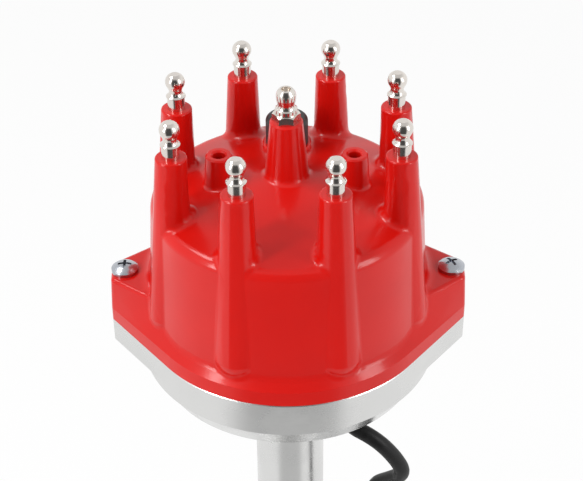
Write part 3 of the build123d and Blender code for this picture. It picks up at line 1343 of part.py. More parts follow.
# ================================================================ write the parts
def all_parts():
    """Every node by name."""
    parts = {
        "housing": housing(),
        "housing_barrel": housing_barrel(),
        "distributor_cap": distributor_cap(),
        "coil_terminal": coil_terminal(),
        "cap_screws": cap_screws(),
        "vent_cap": vent_cap(),
        "barrel_o_rings": o_rings(),
        "lower_bushing": lower_bushing(),
        "bearing_outer_ring": bearing_outer_ring(),
        "bearing_inner_ring": bearing_inner_ring(),
        "bearing_balls": bearing_balls(),
        "bearing_cage": bearing_cage(),
        "bearing_retaining_ring": bearing_retaining_ring(),
        "drive_shaft": drive_shaft(),
        "drive_gear": drive_gear(),
        "gear_roll_pin": roll_pin(),
        "thrust_washers": thrust_washers(),
        "sleeve_washer": sleeve_washer(),
        "advance_cam": advance_cam(),
        "advance_stop": advance_stop(),
        "weight_base": weight_base(),
        "weight_pins": weight_pins(),
        "reluctor": reluctor(),
        "pickup_plate": pickup_plate(),
        "pickup_screws": pickup_screws(),
        "pickup_magnet": pickup_magnet(),
        "pickup_pole": pickup_pole(),
        "pickup_bobbin": pickup_bobbin(),
        "pickup_winding": pickup_winding(),
        "rotor_body": rotor_body(),
        "rotor_screws": rotor_screws(),
        "rotor_blade": rotor_blade(),
        "rotor_contact": rotor_contact(),
        "carbon_button": carbon_button(),
        "button_spring": button_spring(),
        "cable_grommet": cable_grommet(),
        "pickup_cable": pickup_cable(),
        "cable_connector": cable_connector(),
    }
    terminal = spark_terminal()
    for index, degrees in enumerate(tower_degrees(), start=1):
        x, y = polar(TOWER_PITCH_R, degrees)
        parts[f"spark_terminal_{index}"] = Pos(x, y, 0) * terminal
    for index, turn in enumerate((0, 180), start=1):
        parts[f"advance_weight_{index}"] = advance_weight(turn)
        parts[f"advance_spring_{index}"] = advance_spring(turn)
    return parts


for name, solid in all_parts().items():
    export_step(solid, f"parts/{name}.step")
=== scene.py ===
import logging
import math
from dataclasses import dataclass, field
from enum import Enum

import bpy
from mathutils import Matrix, Vector


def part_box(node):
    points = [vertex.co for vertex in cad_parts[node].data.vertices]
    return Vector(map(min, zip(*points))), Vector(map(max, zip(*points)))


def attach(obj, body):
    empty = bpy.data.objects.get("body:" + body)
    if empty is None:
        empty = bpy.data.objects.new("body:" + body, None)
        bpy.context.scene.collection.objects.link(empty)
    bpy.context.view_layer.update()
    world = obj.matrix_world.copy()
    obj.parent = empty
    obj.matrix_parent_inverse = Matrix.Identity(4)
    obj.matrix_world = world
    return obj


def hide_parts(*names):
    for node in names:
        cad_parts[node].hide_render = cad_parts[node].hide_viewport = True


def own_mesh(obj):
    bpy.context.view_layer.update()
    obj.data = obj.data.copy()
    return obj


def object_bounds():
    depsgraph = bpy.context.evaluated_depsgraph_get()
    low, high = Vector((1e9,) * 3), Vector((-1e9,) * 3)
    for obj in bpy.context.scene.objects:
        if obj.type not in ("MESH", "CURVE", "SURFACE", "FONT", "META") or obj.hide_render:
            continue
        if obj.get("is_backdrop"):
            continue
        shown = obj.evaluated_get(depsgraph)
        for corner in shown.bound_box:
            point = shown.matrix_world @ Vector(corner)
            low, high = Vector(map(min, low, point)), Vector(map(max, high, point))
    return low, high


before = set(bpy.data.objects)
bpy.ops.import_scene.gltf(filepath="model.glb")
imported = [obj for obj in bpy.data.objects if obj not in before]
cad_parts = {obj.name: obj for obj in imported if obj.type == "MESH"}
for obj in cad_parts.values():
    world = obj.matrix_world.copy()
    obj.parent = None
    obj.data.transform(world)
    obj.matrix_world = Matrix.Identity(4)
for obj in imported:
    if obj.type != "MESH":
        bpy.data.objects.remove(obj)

Triple = tuple[float, float, float]
Colour = Triple
Edges = tuple[float, float]

WHITE: Colour = (1.0, 1.0, 1.0)

# The Mix node's sockets when it mixes colours.
MIX_SHARE, MIX_FIRST, MIX_SECOND, MIX_RESULT = 0, 6, 7, 2

log = logging.getLogger("distributor")


# ------------------------------------------------------------------ shader maths
class Field:
    """A shader value that works in Python expressions."""

    def __init__(self, graph: "Graph", socket: bpy.types.NodeSocket) -> None:
        """Wraps one output socket.

        Args:
            graph: The nodes that the socket belongs to.
            socket: The output socket.
        """
        self.graph = graph
        self.socket = socket

    def _maths(self, operation: str, first: "Input", second: "Input") -> "Field":
        """Adds one Math node.

        Args:
            operation: The Math node's operation.
            first: Its first value.
            second: Its second value.

        Returns:
            The result as a field.
        """
        node = self.graph.node("ShaderNodeMath", {"operation": operation}, {0: first, 1: second})
        return Field(self.graph, node.outputs[0])

    def __add__(self, other: "Input") -> "Field":
        """Sum."""
        return self._maths("ADD", self, other)

    def __sub__(self, other: "Input") -> "Field":
        """Difference."""
        return self._maths("SUBTRACT", self, other)

    def __rsub__(self, other: "Input") -> "Field":
        """Difference from a number."""
        return self._maths("SUBTRACT", other, self)

    def __mul__(self, other: "Input") -> "Field":
        """Product."""
        return self._maths("MULTIPLY", self, other)

    def __truediv__(self, other: "Input") -> "Field":
        """Quotient."""
        return self._maths("DIVIDE", self, other)

    def __rtruediv__(self, other: "Input") -> "Field":
        """Quotient of a number by the value."""
        return self._maths("DIVIDE", other, self)

    def __pow__(self, other: "Input") -> "Field":
        """Power."""
        return self._maths("POWER", self, other)

    def __rpow__(self, other: "Input") -> "Field":
        """Power of a number."""
        return self._maths("POWER", other, self)

    __radd__ = __add__
    __rmul__ = __mul__

    def sine(self) -> "Field":
        """Sine of the value, in radians."""
        return self._maths("SINE", self, 0.0)

    def smooth(self, low: float, high: float) -> "Field":
        """Rises smoothly from 0 at low to 1 at high.

        Args:
            low: Value that gives 0.
            high: Value that gives 1.

        Returns:
            The clamped, smoothed value.
        """
        settings = {"interpolation_type": "SMOOTHSTEP", "clamp": True}
        inputs = {"Value": self, "From Min": low, "From Max": high}
        node = self.graph.node("ShaderNodeMapRange", settings, inputs)
        return Field(self.graph, node.outputs["Result"])


Input = Field | bpy.types.NodeSocket | float | Triple


def between(first: Field | float, second: Field | float, share: Field) -> Field:
    """Goes from one value to another as the share rises.

    Args:
        first: The value at a share of 0.
        second: The value at a share of 1.
        share: How much of the second, from 0 to 1.

    Returns:
        The mixed value.
    """
    return first + (second - first) * share


class Graph:
    """A node tree while its nodes are being laid down."""

    def __init__(self, tree: bpy.types.NodeTree) -> None:
        """Empties the tree.

        Args:
            tree: A material's node tree, or the world's.
        """
        self.tree = tree
        self.tree.nodes.clear()

    def node(
        self,
        kind: str,
        settings: dict[str, object] | None = None,
        inputs: dict[str | int, Input] | None = None,
    ) -> bpy.types.Node:
        """Adds a node.

        Args:
            kind: The node's type.
            settings: Its properties, set first.
            inputs: What goes into each socket: a number, a colour, a field or a socket.

        Returns:
            The node.
        """
        made = self.tree.nodes.new(kind)
        for key, value in (settings or {}).items():
            setattr(made, key, value)
        for key, value in (inputs or {}).items():
            self.feed(made.inputs[key], value)
        return made

    def feed(self, socket: bpy.types.NodeSocket, value: Input) -> None:
        """Gives an input socket its value or its link.

        Args:
            socket: The input socket.
            value: A number, a colour, a field or a socket.
        """
        if isinstance(value, Field):
            self.tree.links.new(value.socket, socket)
        elif isinstance(value, bpy.types.NodeSocket):
            self.tree.links.new(value, socket)
        elif socket.type == "RGBA":
            socket.default_value = (*value, 1.0)
        else:
            socket.default_value = value

    def axes(self, output: str = "Object") -> tuple[Field, Field, Field]:
        """Splits a texture coordinate, by default the position on the piece at rest.

        Args:
            output: Which coordinate.

        Returns:
            Its X, Y and Z, in metres for a position.
        """
        coordinate = self.node("ShaderNodeTexCoord").outputs[output]
        split = self.node("ShaderNodeSeparateXYZ", inputs={0: coordinate})
        x, y, z = (Field(self, part) for part in split.outputs)
        return x, y, z

    def rays(self) -> tuple[Field, Field]:
        """Tells what looks at the surface.

        Returns:
            1 for the camera, and 1 for a reflection.
        """
        path = self.node("ShaderNodeLightPath")
        camera = Field(self, path.outputs["Is Camera Ray"])
        return camera, Field(self, path.outputs["Is Glossy Ray"])


class Recipe(Graph):
    """A material while its nodes are being laid down."""

    def __init__(self, name: str) -> None:
        """Starts an empty material with a Principled shader.

        Args:
            name: The material's name.
        """
        self.material = bpy.data.materials.new(name)
        self.material.use_nodes = True
        super().__init__(self.material.node_tree)
        self.output = self.node("ShaderNodeOutputMaterial")
        self.shader = self.node("ShaderNodeBsdfPrincipled")
        self.feed(self.output.inputs["Surface"], self.shader.outputs["BSDF"])

    def noise(self, per_metre: float, detail: float) -> Field:
        """Cloudy pattern.

        Args:
            per_metre: How many cells fit in a metre.
            detail: How many finer layers it has.

        Returns:
            The pattern, about 0.3 to 0.7.
        """
        place = self.node("ShaderNodeTexCoord").outputs["Object"]
        inputs = {"Vector": place, "Scale": per_metre, "Detail": detail}
        return Field(self, self.node("ShaderNodeTexNoise", inputs=inputs).outputs["Fac"])

    def streaks(self, along: Field, per_metre: float, detail: float) -> Field:
        """Random lines across one direction, such as tool marks.

        Args:
            along: The value whose change crosses the lines.
            per_metre: How many lines fit in a metre of it.
            detail: How many finer layers it has.

        Returns:
            The pattern, about 0.3 to 0.7.
        """
        inputs = {"W": along, "Scale": per_metre, "Detail": detail}
        made = self.node("ShaderNodeTexNoise", {"noise_dimensions": "1D"}, inputs)
        return Field(self, made.outputs["Fac"])

    def blend(self, share: Field, first: Colour, second: Colour) -> bpy.types.NodeSocket:
        """Mixes two colours.

        Args:
            share: How much of the second.
            first: The colour at 0.
            second: The colour at 1.

        Returns:
            The colour socket.
        """
        inputs = {MIX_SHARE: share, MIX_FIRST: first, MIX_SECOND: second}
        return self.node("ShaderNodeMix", {"data_type": "RGBA"}, inputs).outputs[MIX_RESULT]

    def relief(self, height: Field, depth_m: float) -> None:
        """Feeds a bump to the shader's normal.

        Args:
            height: The height pattern.
            depth_m: What a height of 1 stands for, in metres.
        """
        inputs = {"Height": height, "Distance": depth_m, "Strength": 1.0}
        self.set(Normal=self.node("ShaderNodeBump", inputs=inputs).outputs["Normal"])

    def set(self, **values: Input) -> None:
        """Sets the shader's sockets, with underscores for the spaces in their names."""
        for key, value in values.items():
            self.feed(self.shader.inputs[key.replace("_", " ")], value)


# ------------------------------------------------------------------ finishes
@dataclass(frozen=True)
class Moulding:
    """Moulded plastic: smooth skin with faint flow, dust, a fine grain and a slow wave."""

    name: str
    colour: Colour
    deep: Colour
    roughness: float = 0.3
    coat: float = 0.0
    coat_roughness: float = 0.16
    specular: float = 0.5
    flow_per_m: float = 28.0
    flow_edges: Edges = (0.35, 0.65)
    flow_shade: float = 0.6
    flow_dulls: float = 0.05
    dust_per_m: float = 1500.0
    dust_edges: Edges = (0.62, 0.75)
    dust_shade: float = 0.4
    dust_dulls: float = 0.06
    grain_per_m: float = 2600.0
    grain_m: float = 0.00001
    wave_per_m: float = 150.0
    wave_grains: float = 3.0  # the wave's height, in grain heights

    def material(self) -> bpy.types.Material:
        """Makes the material."""
        recipe = Recipe(self.name)
        flow = recipe.noise(self.flow_per_m, detail=3.0).smooth(*self.flow_edges)
        dust = recipe.noise(self.dust_per_m, detail=2.0).smooth(*self.dust_edges)
        shaded = flow * self.flow_shade + dust * self.dust_shade
        grain = recipe.noise(self.grain_per_m, detail=3.0)
        wave = recipe.noise(self.wave_per_m, detail=1.0)
        recipe.set(
            Base_Color=recipe.blend(shaded, self.colour, self.deep),
            Roughness=self.roughness + self.flow_dulls * flow + self.dust_dulls * dust,
            Coat_Weight=self.coat,
            Coat_Roughness=self.coat_roughness,
            Specular_IOR_Level=self.specular,
        )
        recipe.relief(grain + self.wave_grains * wave, self.grain_m)
        return recipe.material


class Lay(Enum):
    """Which way a tool has left its marks."""

    TURNED = "turned"
    BARREL = "barrel"
    CAST = "cast"


@dataclass(frozen=True)
class Metal:
    """Metal with tool marks, clouds of polish and a little grime."""

    name: str
    colour: Colour
    shade: Colour
    roughness: float
    lay: Lay = Lay.TURNED
    marks_per_m: float = 3800.0
    marks_m: float = 0.000012
    marks_dull: float = 0.05
    face_pitch: float = 0.6  # lines on a turned face, as a share of those round its side
    grime: float = 0.15
    open_grime: float = 0.5  # share of the grime that lies outside the marks
    cloud_per_m: float = 60.0
    cloud_edges: Edges = (0.35, 0.7)
    polished: float = 0.8  # roughness outside the clouds, as a share
    clouded: float = 0.4  # what a cloud adds to that share

    def marks(self, recipe: Recipe) -> Field:
        """Lays the tool marks' pattern.

        Args:
            recipe: The material that is being made.

        Returns:
            The pattern, about 0.3 to 0.7.
        """
        if self.lay is Lay.CAST:
            return recipe.noise(self.marks_per_m, detail=4.0)
        x, y, z = recipe.axes()
        if self.lay is Lay.BARREL:
            return recipe.streaks(z, self.marks_per_m, detail=3.0)
        radius = (x * x + y * y) ** 0.5
        return recipe.streaks(z + self.face_pitch * radius, self.marks_per_m, detail=3.0)

    def material(self) -> bpy.types.Material:
        """Makes the material."""
        recipe = Recipe(self.name)
        cloud = recipe.noise(self.cloud_per_m, detail=4.0).smooth(*self.cloud_edges)
        marks = self.marks(recipe)
        dirt = cloud * (self.open_grime + (1.0 - self.open_grime) * marks)
        rough = self.roughness * (self.polished + self.clouded * cloud)
        recipe.set(
            Base_Color=recipe.blend(dirt * self.grime, self.colour, self.shade),
            Metallic=1.0,
            Roughness=rough + self.marks_dull * marks,
        )
        recipe.relief(marks, self.marks_m)
        return recipe.material


@dataclass(frozen=True)
class Rubber:
    """Matt rubber or sleeve with a fine pebbled skin and dust in places."""

    name: str
    colour: Colour
    worn: Colour
    roughness: float = 0.6
    specular: float = 0.5
    pebbles_per_m: float = 1700.0
    pebbles_m: float = 0.00006
    dust_per_m: float = 240.0
    dust_edges: Edges = (0.5, 0.75)
    dust_shade: float = 0.5
    dust_dulls: float = 0.12

    def material(self) -> bpy.types.Material:
        """Makes the material."""
        recipe = Recipe(self.name)
        dust = recipe.noise(self.dust_per_m, detail=4.0).smooth(*self.dust_edges)
        recipe.set(
            Base_Color=recipe.blend(dust * self.dust_shade, self.colour, self.worn),
            Roughness=self.roughness + self.dust_dulls * dust,
            Specular_IOR_Level=self.specular,
        )
        recipe.relief(recipe.noise(self.pebbles_per_m, detail=3.0), self.pebbles_m)
        return recipe.material


@dataclass(frozen=True)
class Winding:
    """Enamelled wire laid side by side, with painted shade in the grooves between the wires."""

    name: str
    colour: Colour
    # painted shade: the colour painted into the grooves between the wires
    shade: Colour
    roughness: float = 0.3
    wire_m: float = 0.0003
    wires_to_depth: float = 3.0  # wire widths to one depth of the grooves
    slant_deg: float = 58.0  # the coil's axis, from X towards -Y

    def material(self) -> bpy.types.Material:
        """Makes the material."""
        recipe = Recipe(self.name)
        x, y, _ = recipe.axes()
        slant = math.radians(self.slant_deg)
        along = x * math.cos(slant) - y * math.sin(slant)
        wires = (along * (math.tau / self.wire_m)).sine() * 0.5 + 0.5
        # Painted shade: the base colour darkens towards shade in the grooves between the wires.
        recipe.set(
            Base_Color=recipe.blend(1.0 - wires, self.colour, self.shade),
            Metallic=1.0,
            Roughness=self.roughness,
        )
        recipe.relief(wires, self.wire_m / self.wires_to_depth)
        return recipe.material


Finish = Moulding | Metal | Rubber | Winding

CAP_RED = Moulding(
    "cap_red", (0.61, 0.006, 0.003), (0.55, 0.005, 0.003), coat=0.55, specular=0.1
)
BLACK_PLASTIC = Moulding(
    "black_plastic", (0.016, 0.016, 0.017), (0.028, 0.028, 0.029), roughness=0.42
)
ROTOR_PLASTIC = Moulding("rotor_plastic", (0.022, 0.021, 0.020), (0.035, 0.034, 0.032))
BOBBIN_PLASTIC = Moulding(
    "bobbin_plastic", (0.045, 0.042, 0.038), (0.07, 0.066, 0.06), roughness=0.45
)
CARBON = Moulding(
    "carbon", (0.03, 0.03, 0.031), (0.05, 0.05, 0.052), roughness=0.5, grain_m=0.00003
)

ALUMINIUM = Metal(
    "housing_aluminium", (0.74, 0.74, 0.73), (0.58, 0.58, 0.58),
    roughness=0.24, marks_per_m=2600.0, marks_m=0.000008,
)
BEARING_STEEL = Metal(
    "bearing_steel", (0.62, 0.62, 0.63), (0.40, 0.39, 0.38), roughness=0.16
)
TERMINAL_STEEL = Metal(
    "terminal_steel", (0.80, 0.75, 0.70), (0.55, 0.52, 0.48),
    roughness=0.13, lay=Lay.BARREL, marks_per_m=5200.0, marks_m=0.000006, grime=0.25,
)
SPRING_STEEL = Metal(
    "spring_steel", (0.48, 0.48, 0.49), (0.25, 0.24, 0.22),
    roughness=0.3, lay=Lay.BARREL, marks_per_m=6000.0,
)
SHAFT_STEEL = Metal(
    "shaft_steel", (0.56, 0.56, 0.57), (0.30, 0.27, 0.22),
    roughness=0.2, lay=Lay.BARREL, marks_per_m=4200.0, marks_m=0.000008, grime=0.35,
)
SOFT_IRON = Metal(
    "soft_iron", (0.46, 0.46, 0.47), (0.26, 0.25, 0.24),
    roughness=0.34, lay=Lay.BARREL, marks_per_m=2800.0, marks_m=0.00003, grime=0.4,
)
ZINC_STEEL = Metal(
    "zinc_steel", (0.53, 0.55, 0.59), (0.32, 0.34, 0.38),
    roughness=0.22, lay=Lay.CAST, marks_per_m=3000.0, marks_m=0.00001, grime=0.4,
)
SINTERED_BRONZE = Metal(
    "sintered_bronze", (0.58, 0.36, 0.16), (0.30, 0.17, 0.08),
    roughness=0.42, lay=Lay.CAST, marks_per_m=2600.0, marks_m=0.00004,
)
GEAR_IRON = Metal(
    "gear_iron", (0.26, 0.26, 0.27), (0.10, 0.09, 0.08),
    roughness=0.36, lay=Lay.CAST, marks_per_m=1800.0, marks_m=0.00003, grime=0.5,
)
PLATED_STEEL = Metal(
    "plated_steel", (0.66, 0.58, 0.38), (0.55, 0.40, 0.30),
    roughness=0.28, lay=Lay.CAST, marks_per_m=1400.0, marks_m=0.00001, grime=0.7,
)
FERRITE = Metal(
    "magnet_ferrite", (0.09, 0.09, 0.10), (0.04, 0.04, 0.045),
    roughness=0.5, lay=Lay.CAST, marks_per_m=2400.0, marks_m=0.00003,
)
BRASS = Metal(
    "contact_brass", (0.78, 0.57, 0.25), (0.50, 0.34, 0.14),
    roughness=0.22, lay=Lay.CAST, marks_per_m=2200.0, marks_m=0.000008, grime=0.5,
)

# The second colour is painted shade for the grooves between the wires.
COPPER_WIRE = Winding("copper_winding", (0.62, 0.24, 0.09), (0.16, 0.05, 0.02))
BLACK_RUBBER = Rubber("black_rubber", (0.016, 0.016, 0.017), (0.035, 0.034, 0.033))
CABLE_SLEEVE = Rubber(
    "cable_sleeve", (0.008, 0.008, 0.008), (0.018, 0.018, 0.018), roughness=0.45, specular=0.25
)


# ------------------------------------------------------------------ sub-assemblies
def placed(name: str, data: bpy.types.ID) -> bpy.types.Object:
    """Puts an object into the scene.

    Args:
        name: The object's name.
        data: Its mesh, curve, camera or lamp.

    Returns:
        The object.
    """
    made = bpy.data.objects.new(name, data)
    bpy.context.scene.collection.objects.link(made)
    return made


def paint(piece: bpy.types.Object, material: bpy.types.Material) -> None:
    """Puts one material on a piece.

    Args:
        piece: The object to paint.
        material: Its material.
    """
    piece.data.materials.clear()
    piece.data.materials.append(material)


@dataclass
class Assembly:
    """A group of CAD nodes with one finish each, and the pieces that the scene adds to them."""

    title: str = "assembly"
    finishes: dict[str, Finish] = field(default_factory=dict)

    def dress(self, materials: dict[str, bpy.types.Material]) -> None:
        """Gives each node its material.

        Args:
            materials: Materials made so far by name, to which new ones are added.
        """
        for node, finish in self.finishes.items():
            if finish.name not in materials:
                materials[finish.name] = finish.material()
            paint(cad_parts[node], materials[finish.name])
            log.info("%s: %s has %s", self.title, node, finish.name)

    def build(self, materials: dict[str, bpy.types.Material]) -> list[bpy.types.Object]:
        """Makes the pieces that the scene adds; none unless a sub-assembly says so.

        Args:
            materials: Materials by name.

        Returns:
            The new pieces.
        """
        return []


@dataclass
class Cap(Assembly):
    """Red cap with its terminals, screws, vent plug and button."""

    title: str = "cap"
    towers: int = 8
    button_travel: float = 0.0015

    def __post_init__(self) -> None:
        """Lists the cap's nodes."""
        self.finishes = {
            "distributor_cap": CAP_RED,
            "coil_terminal": TERMINAL_STEEL,
            "cap_screws": ZINC_STEEL,
            **{f"spark_terminal_{tower + 1}": TERMINAL_STEEL for tower in range(self.towers)},
            "vent_cap": BLACK_PLASTIC,
            "carbon_button": CARBON,
            "button_spring": SPRING_STEEL,
        }

    def build(self, materials: dict[str, bpy.types.Material]) -> list[bpy.types.Object]:
        """Makes a copy of the button's spring and hangs it on the housing.

        Args:
            materials: Materials by name.

        Returns:
            The spring.
        """
        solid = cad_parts["button_spring"]
        spring = placed("button_spring_wire", solid.data.copy())
        spring.matrix_world = solid.matrix_world
        paint(spring, materials[SPRING_STEEL.name])
        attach(spring, "housing")
        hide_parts("button_spring")
        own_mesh(spring)
        return [spring]


@dataclass
class Housing(Assembly):
    """Bowl and barrel with the seals, bush and ball bearing."""

    title: str = "housing"

    def __post_init__(self) -> None:
        """Lists the housing's nodes."""
        self.finishes = {
            "housing": ALUMINIUM,
            "housing_barrel": ALUMINIUM,
            "barrel_o_rings": BLACK_RUBBER,
            "lower_bushing": SINTERED_BRONZE,
            "bearing_outer_ring": BEARING_STEEL,
            "bearing_inner_ring": BEARING_STEEL,
            "bearing_balls": BEARING_STEEL,
            "bearing_cage": BRASS,
            "bearing_retaining_ring": SPRING_STEEL,
        }


@dataclass
class Drive(Assembly):
    """Shaft with its gear and washers, and the cam and stop on its upper end."""

    title: str = "drive"

    def __post_init__(self) -> None:
        """Lists the shaft's nodes."""
        self.finishes = {
            "drive_shaft": SHAFT_STEEL,
            "drive_gear": GEAR_IRON,
            "gear_roll_pin": SPRING_STEEL,
            "thrust_washers": SHAFT_STEEL,
            "sleeve_washer": SHAFT_STEEL,
            "advance_cam": PLATED_STEEL,
            "advance_stop": SINTERED_BRONZE,
        }


@dataclass
class Advance(Assembly):
    """Weights, springs and the plate that they turn, with the reluctor below it."""

    title: str = "advance"

    def __post_init__(self) -> None:
        """Lists the advance's nodes."""
        self.finishes = {
            "weight_base": PLATED_STEEL,
            "weight_pins": SHAFT_STEEL,
            "advance_weight_1": PLATED_STEEL,
            "advance_weight_2": PLATED_STEEL,
            "advance_spring_1": SPRING_STEEL,
            "advance_spring_2": SPRING_STEEL,
            "reluctor": SOFT_IRON,
        }


@dataclass
class Pickup(Assembly):
    """Magnetic pickup on the bowl's floor."""

    title: str = "pickup"

    def __post_init__(self) -> None:
        """Lists the pickup's nodes."""
        self.finishes = {
            "pickup_plate": PLATED_STEEL,
            "pickup_screws": ZINC_STEEL,
            "pickup_magnet": FERRITE,
            "pickup_pole": SOFT_IRON,
            "pickup_bobbin": BOBBIN_PLASTIC,
            "pickup_winding": COPPER_WIRE,
        }


@dataclass
class Rotor(Assembly):
    """Rotor with its blade and contact leaf."""

    title: str = "rotor"

    def __post_init__(self) -> None:
        """Lists the rotor's nodes."""
        self.finishes = {
            "rotor_body": ROTOR_PLASTIC,
            "rotor_screws": ZINC_STEEL,
            "rotor_blade": BRASS,
            "rotor_contact": BRASS,
        }


@dataclass
class PickupLead(Assembly):
    """The pickup's lead: grommet, hanging cable and plug."""

    title: str = "lead"
    radius: float = 0.00285
    length: float = 0.1406
    ring_steps: int = 8
    line_steps: int = 12
    route: tuple[Triple, ...] = (  # x, y and depth below the grommet
        (0.0195, -0.0260, 0.0076),
        (0.0305, -0.0310, 0.0107),
        (0.0380, -0.0299, 0.0212),
        (0.0415, -0.0280, 0.0307),
        (0.0370, -0.0225, 0.0387),
        (0.0309, -0.0160, 0.0477),
        (0.0299, -0.0146, 0.0662),
        (0.0316, -0.0142, 0.0932),
        (0.0326, -0.0156, 0.1242),
    )

    def __post_init__(self) -> None:
        """Lists the lead's nodes."""
        self.finishes = {
            "cable_grommet": BLACK_RUBBER,
            "cable_connector": BLACK_PLASTIC,
            "pickup_cable": CABLE_SLEEVE,
        }

    def build(self, materials: dict[str, bpy.types.Material]) -> list[bpy.types.Object]:
        """Makes the cable as one smooth line.

        Args:
            materials: Materials by name.

        Returns:
            The cable.
        """
        low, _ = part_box("cable_grommet")
        points = [Vector((*self.route[0][:2], low.z))]
        points += [Vector((x, y, low.z - depth)) for x, y, depth in self.route]
        line = bpy.data.curves.new("hanging_cable", "CURVE")
        line.dimensions = "3D"
        line.bevel_depth = self.radius
        line.bevel_resolution = self.ring_steps
        line.resolution_u = self.line_steps
        line.use_fill_caps = True
        spline = line.splines.new("NURBS")
        spline.points.add(len(points) - 1)
        for control, point in zip(spline.points, points):
            control.co = (*point, 1.0)
        spline.order_u = 3
        spline.use_endpoint_u = True
        cable = placed("hanging_cable", line)
        paint(cable, materials[CABLE_SLEEVE.name])
        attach(cable, "housing")
        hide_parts("pickup_cable")
        return [cable]


# ------------------------------------------------------------------ studio
@dataclass
class Camera:
    """Camera above the front of the circle of terminals."""

    lens_mm: float = 93.2
    sensor_mm: float = 36.0
    nearest: float = 0.02
    furthest: float = 20.0
    pitch_deg: float = 35.75
    turn_deg: float = 0.24
    roll_deg: float = -0.57
    offset: Triple = (0.00308, -0.4226, 0.2499)  # from the middle of the circle
    ball_radius: float = 0.00285  # the rounding on top of a terminal

    def build(self) -> None:
        """Makes the scene's camera."""
        data = bpy.data.cameras.new("view")
        data.lens = self.lens_mm
        data.sensor_width = self.sensor_mm
        data.clip_start = self.nearest
        data.clip_end = self.furthest
        pitch = math.radians(self.pitch_deg)
        turn = math.radians(self.turn_deg)
        roll = math.radians(self.roll_deg)
        level = math.cos(pitch)
        back = Vector((math.sin(turn) * level, -math.cos(turn) * level, math.sin(pitch)))
        side = (-back).cross(Vector((0.0, 0.0, 1.0))).normalized()
        rise = side.cross(-back)
        across = math.cos(roll) * side + math.sin(roll) * rise
        upward = math.cos(roll) * rise - math.sin(roll) * side
        turned = Matrix((across, upward, back)).transposed()
        _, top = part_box("spark_terminal_1")
        ring = Vector((0.0, 0.0, top.z - self.ball_radius))
        camera = placed("view", data)
        camera.matrix_world = Matrix.Translation(ring + Vector(self.offset)) @ turned.to_4x4()
        bpy.context.scene.camera = camera


@dataclass(frozen=True)
class Softbox:
    """A rectangular lamp that faces the part."""

    name: str
    offset: Triple  # from the point that it faces, in metres
    width: float
    height: float
    watts: float

    def build(self, target: Vector) -> None:
        """Hangs the lamp.

        Args:
            target: The point that it faces.
        """
        data = bpy.data.lights.new(self.name, "AREA")
        data.shape = "RECTANGLE"
        data.size = self.width
        data.size_y = self.height
        data.energy = self.watts
        offset = Vector(self.offset)
        lamp = placed(self.name, data)
        lamp.location = target + offset
        lamp.rotation_mode = "QUATERNION"
        lamp.rotation_quaternion = (-offset).to_track_quat("-Z", "Y")


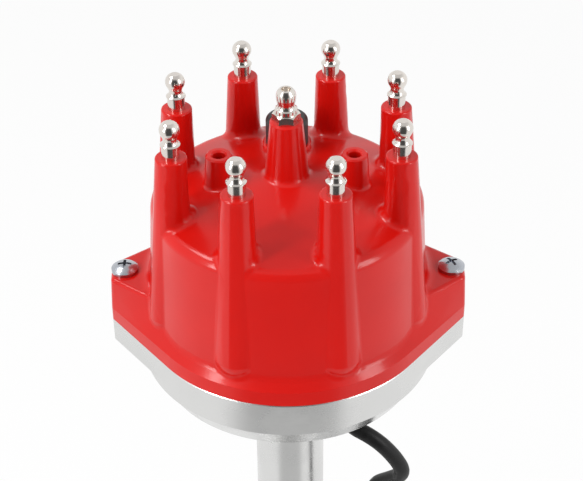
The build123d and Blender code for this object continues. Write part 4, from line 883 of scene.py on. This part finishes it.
@dataclass
class Studio:
    """Floor, pale surroundings and lamps.

    The fields named mirror say how bright a reflection sees a place, where 1 is white.
    """

    floor_size: float = 6.0
    floor_white: float = 0.86
    floor_roughness: float = 0.9
    floor_glow: float = 0.88  # share of plain white that the camera sees
    floor_mirror_front: float = 0.62
    floor_mirror_far: float = 0.07
    floor_mirror_round: float = 0.95
    sheet_edges: Edges = (0.37, 0.41)  # where the pale sheet in front ends, in metres
    ambient: float = 0.62
    wall_mirror: float = 0.95
    ceiling_mirror: float = 0.65
    ceiling_edges: Edges = (0.3, 1.0)
    gap_mirror: float = 0.07
    gap_edges: Edges = (0.7, 0.9)
    gap_top: Edges = (0.7, 0.92)
    centre_guard: float = 0.000001  # keeps a division from meeting 0
    target_depth: float = 0.06  # how far below the top the lamps are aimed
    softboxes: tuple[Softbox, ...] = (
        Softbox("left softbox", (-0.75, -0.5, 0.4), 0.16, 0.8, watts=4.5),
        Softbox("right softbox", (0.8, -0.4, 0.35), 0.26, 0.7, watts=3.6),
        Softbox("overhead softbox", (-0.55, 0.05, 0.85), 0.35, 0.3, watts=3.4),
    )

    def build(self) -> None:
        """Makes the floor, the world and the lamps."""
        low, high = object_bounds()
        self.floor(low.z)
        self.world()
        for softbox in self.softboxes:
            softbox.build(Vector((0.0, 0.0, high.z - self.target_depth)))
            log.info("studio: made %s", softbox.name)
        bpy.context.scene.view_settings.view_transform = "Standard"

    def floor(self, height: float) -> None:
        """Lays the floor: white to the camera, and in reflections pale but for its far front.

        Args:
            height: The floor's height, in metres.
        """
        half = self.floor_size / 2
        corners = [(-half, -half, height), (half, -half, height)]
        corners += [(half, half, height), (-half, half, height)]
        mesh = bpy.data.meshes.new("floor")
        mesh.from_pydata(corners, [], [(0, 1, 2, 3)])
        floor = placed("floor", mesh)
        recipe = Recipe("pale_floor")
        recipe.set(Base_Color=(self.floor_white,) * 3, Roughness=self.floor_roughness)
        camera, mirrored = recipe.rays()
        across, along, _ = recipe.axes()
        front = self.frontness(across, along)
        far = ((across * across + along * along) ** 0.5).smooth(*self.sheet_edges)
        ahead = between(self.floor_mirror_front, self.floor_mirror_far, far)
        shown = between(self.floor_mirror_round, ahead, front)
        share = camera * self.floor_glow + mirrored
        light = {"Color": WHITE, "Strength": camera + mirrored * shown}
        glow = recipe.node("ShaderNodeEmission", inputs=light)
        layers = {0: share, 1: recipe.shader.outputs[0], 2: glow.outputs[0]}
        mix = recipe.node("ShaderNodeMixShader", inputs=layers)
        recipe.feed(recipe.output.inputs["Surface"], mix.outputs[0])
        paint(floor, recipe.material)
        floor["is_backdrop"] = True

    def world(self) -> None:
        """Makes the surroundings: white to the camera, and an even pale light on the part.

        In reflections they are pale walls under a greyer ceiling, with a dark gap in front.
        """
        world = bpy.data.worlds.new("surroundings")
        bpy.context.scene.world = world
        world.use_nodes = True
        graph = Graph(world.node_tree)
        camera, mirrored = graph.rays()
        across, along, height = graph.axes("Generated")
        gap = self.frontness(across, along) * (1.0 - height.smooth(*self.gap_top))
        ceiling = height.smooth(*self.ceiling_edges)
        walls = between(self.wall_mirror, self.ceiling_mirror, ceiling)
        mirror = between(walls, self.gap_mirror, gap)
        unseen = mirrored * mirror + (1.0 - mirrored) * self.ambient
        light = {"Color": WHITE, "Strength": camera + (1.0 - camera) * unseen}
        back = graph.node("ShaderNodeBackground", inputs=light)
        graph.node("ShaderNodeOutputWorld", inputs={"Surface": back.outputs[0]})

    def frontness(self, across: Field, along: Field) -> Field:
        """1 straight ahead of the object's front and 0 to its sides and behind it.

        Args:
            across: Direction or place along X.
            along: Direction or place along Y.

        Returns:
            The share, by the angle from the front.
        """
        radius = (across * across + along * along + self.centre_guard) ** 0.5
        return (0.0 - along / radius).smooth(*self.gap_edges)


def main() -> None:
    """Dresses the distributor and lights it."""
    logging.basicConfig(level=logging.INFO, format="%(message)s")
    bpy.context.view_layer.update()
    Camera().build()
    materials: dict[str, bpy.types.Material] = {}
    for assembly in (PickupLead(), Cap(), Housing(), Drive(), Advance(), Pickup(), Rotor()):
        assembly.dress(materials)
        for piece in assembly.build(materials):
            log.info("%s: made %s", assembly.title, piece.name)
    Studio().build()


if __name__ == "__main__":
    main()
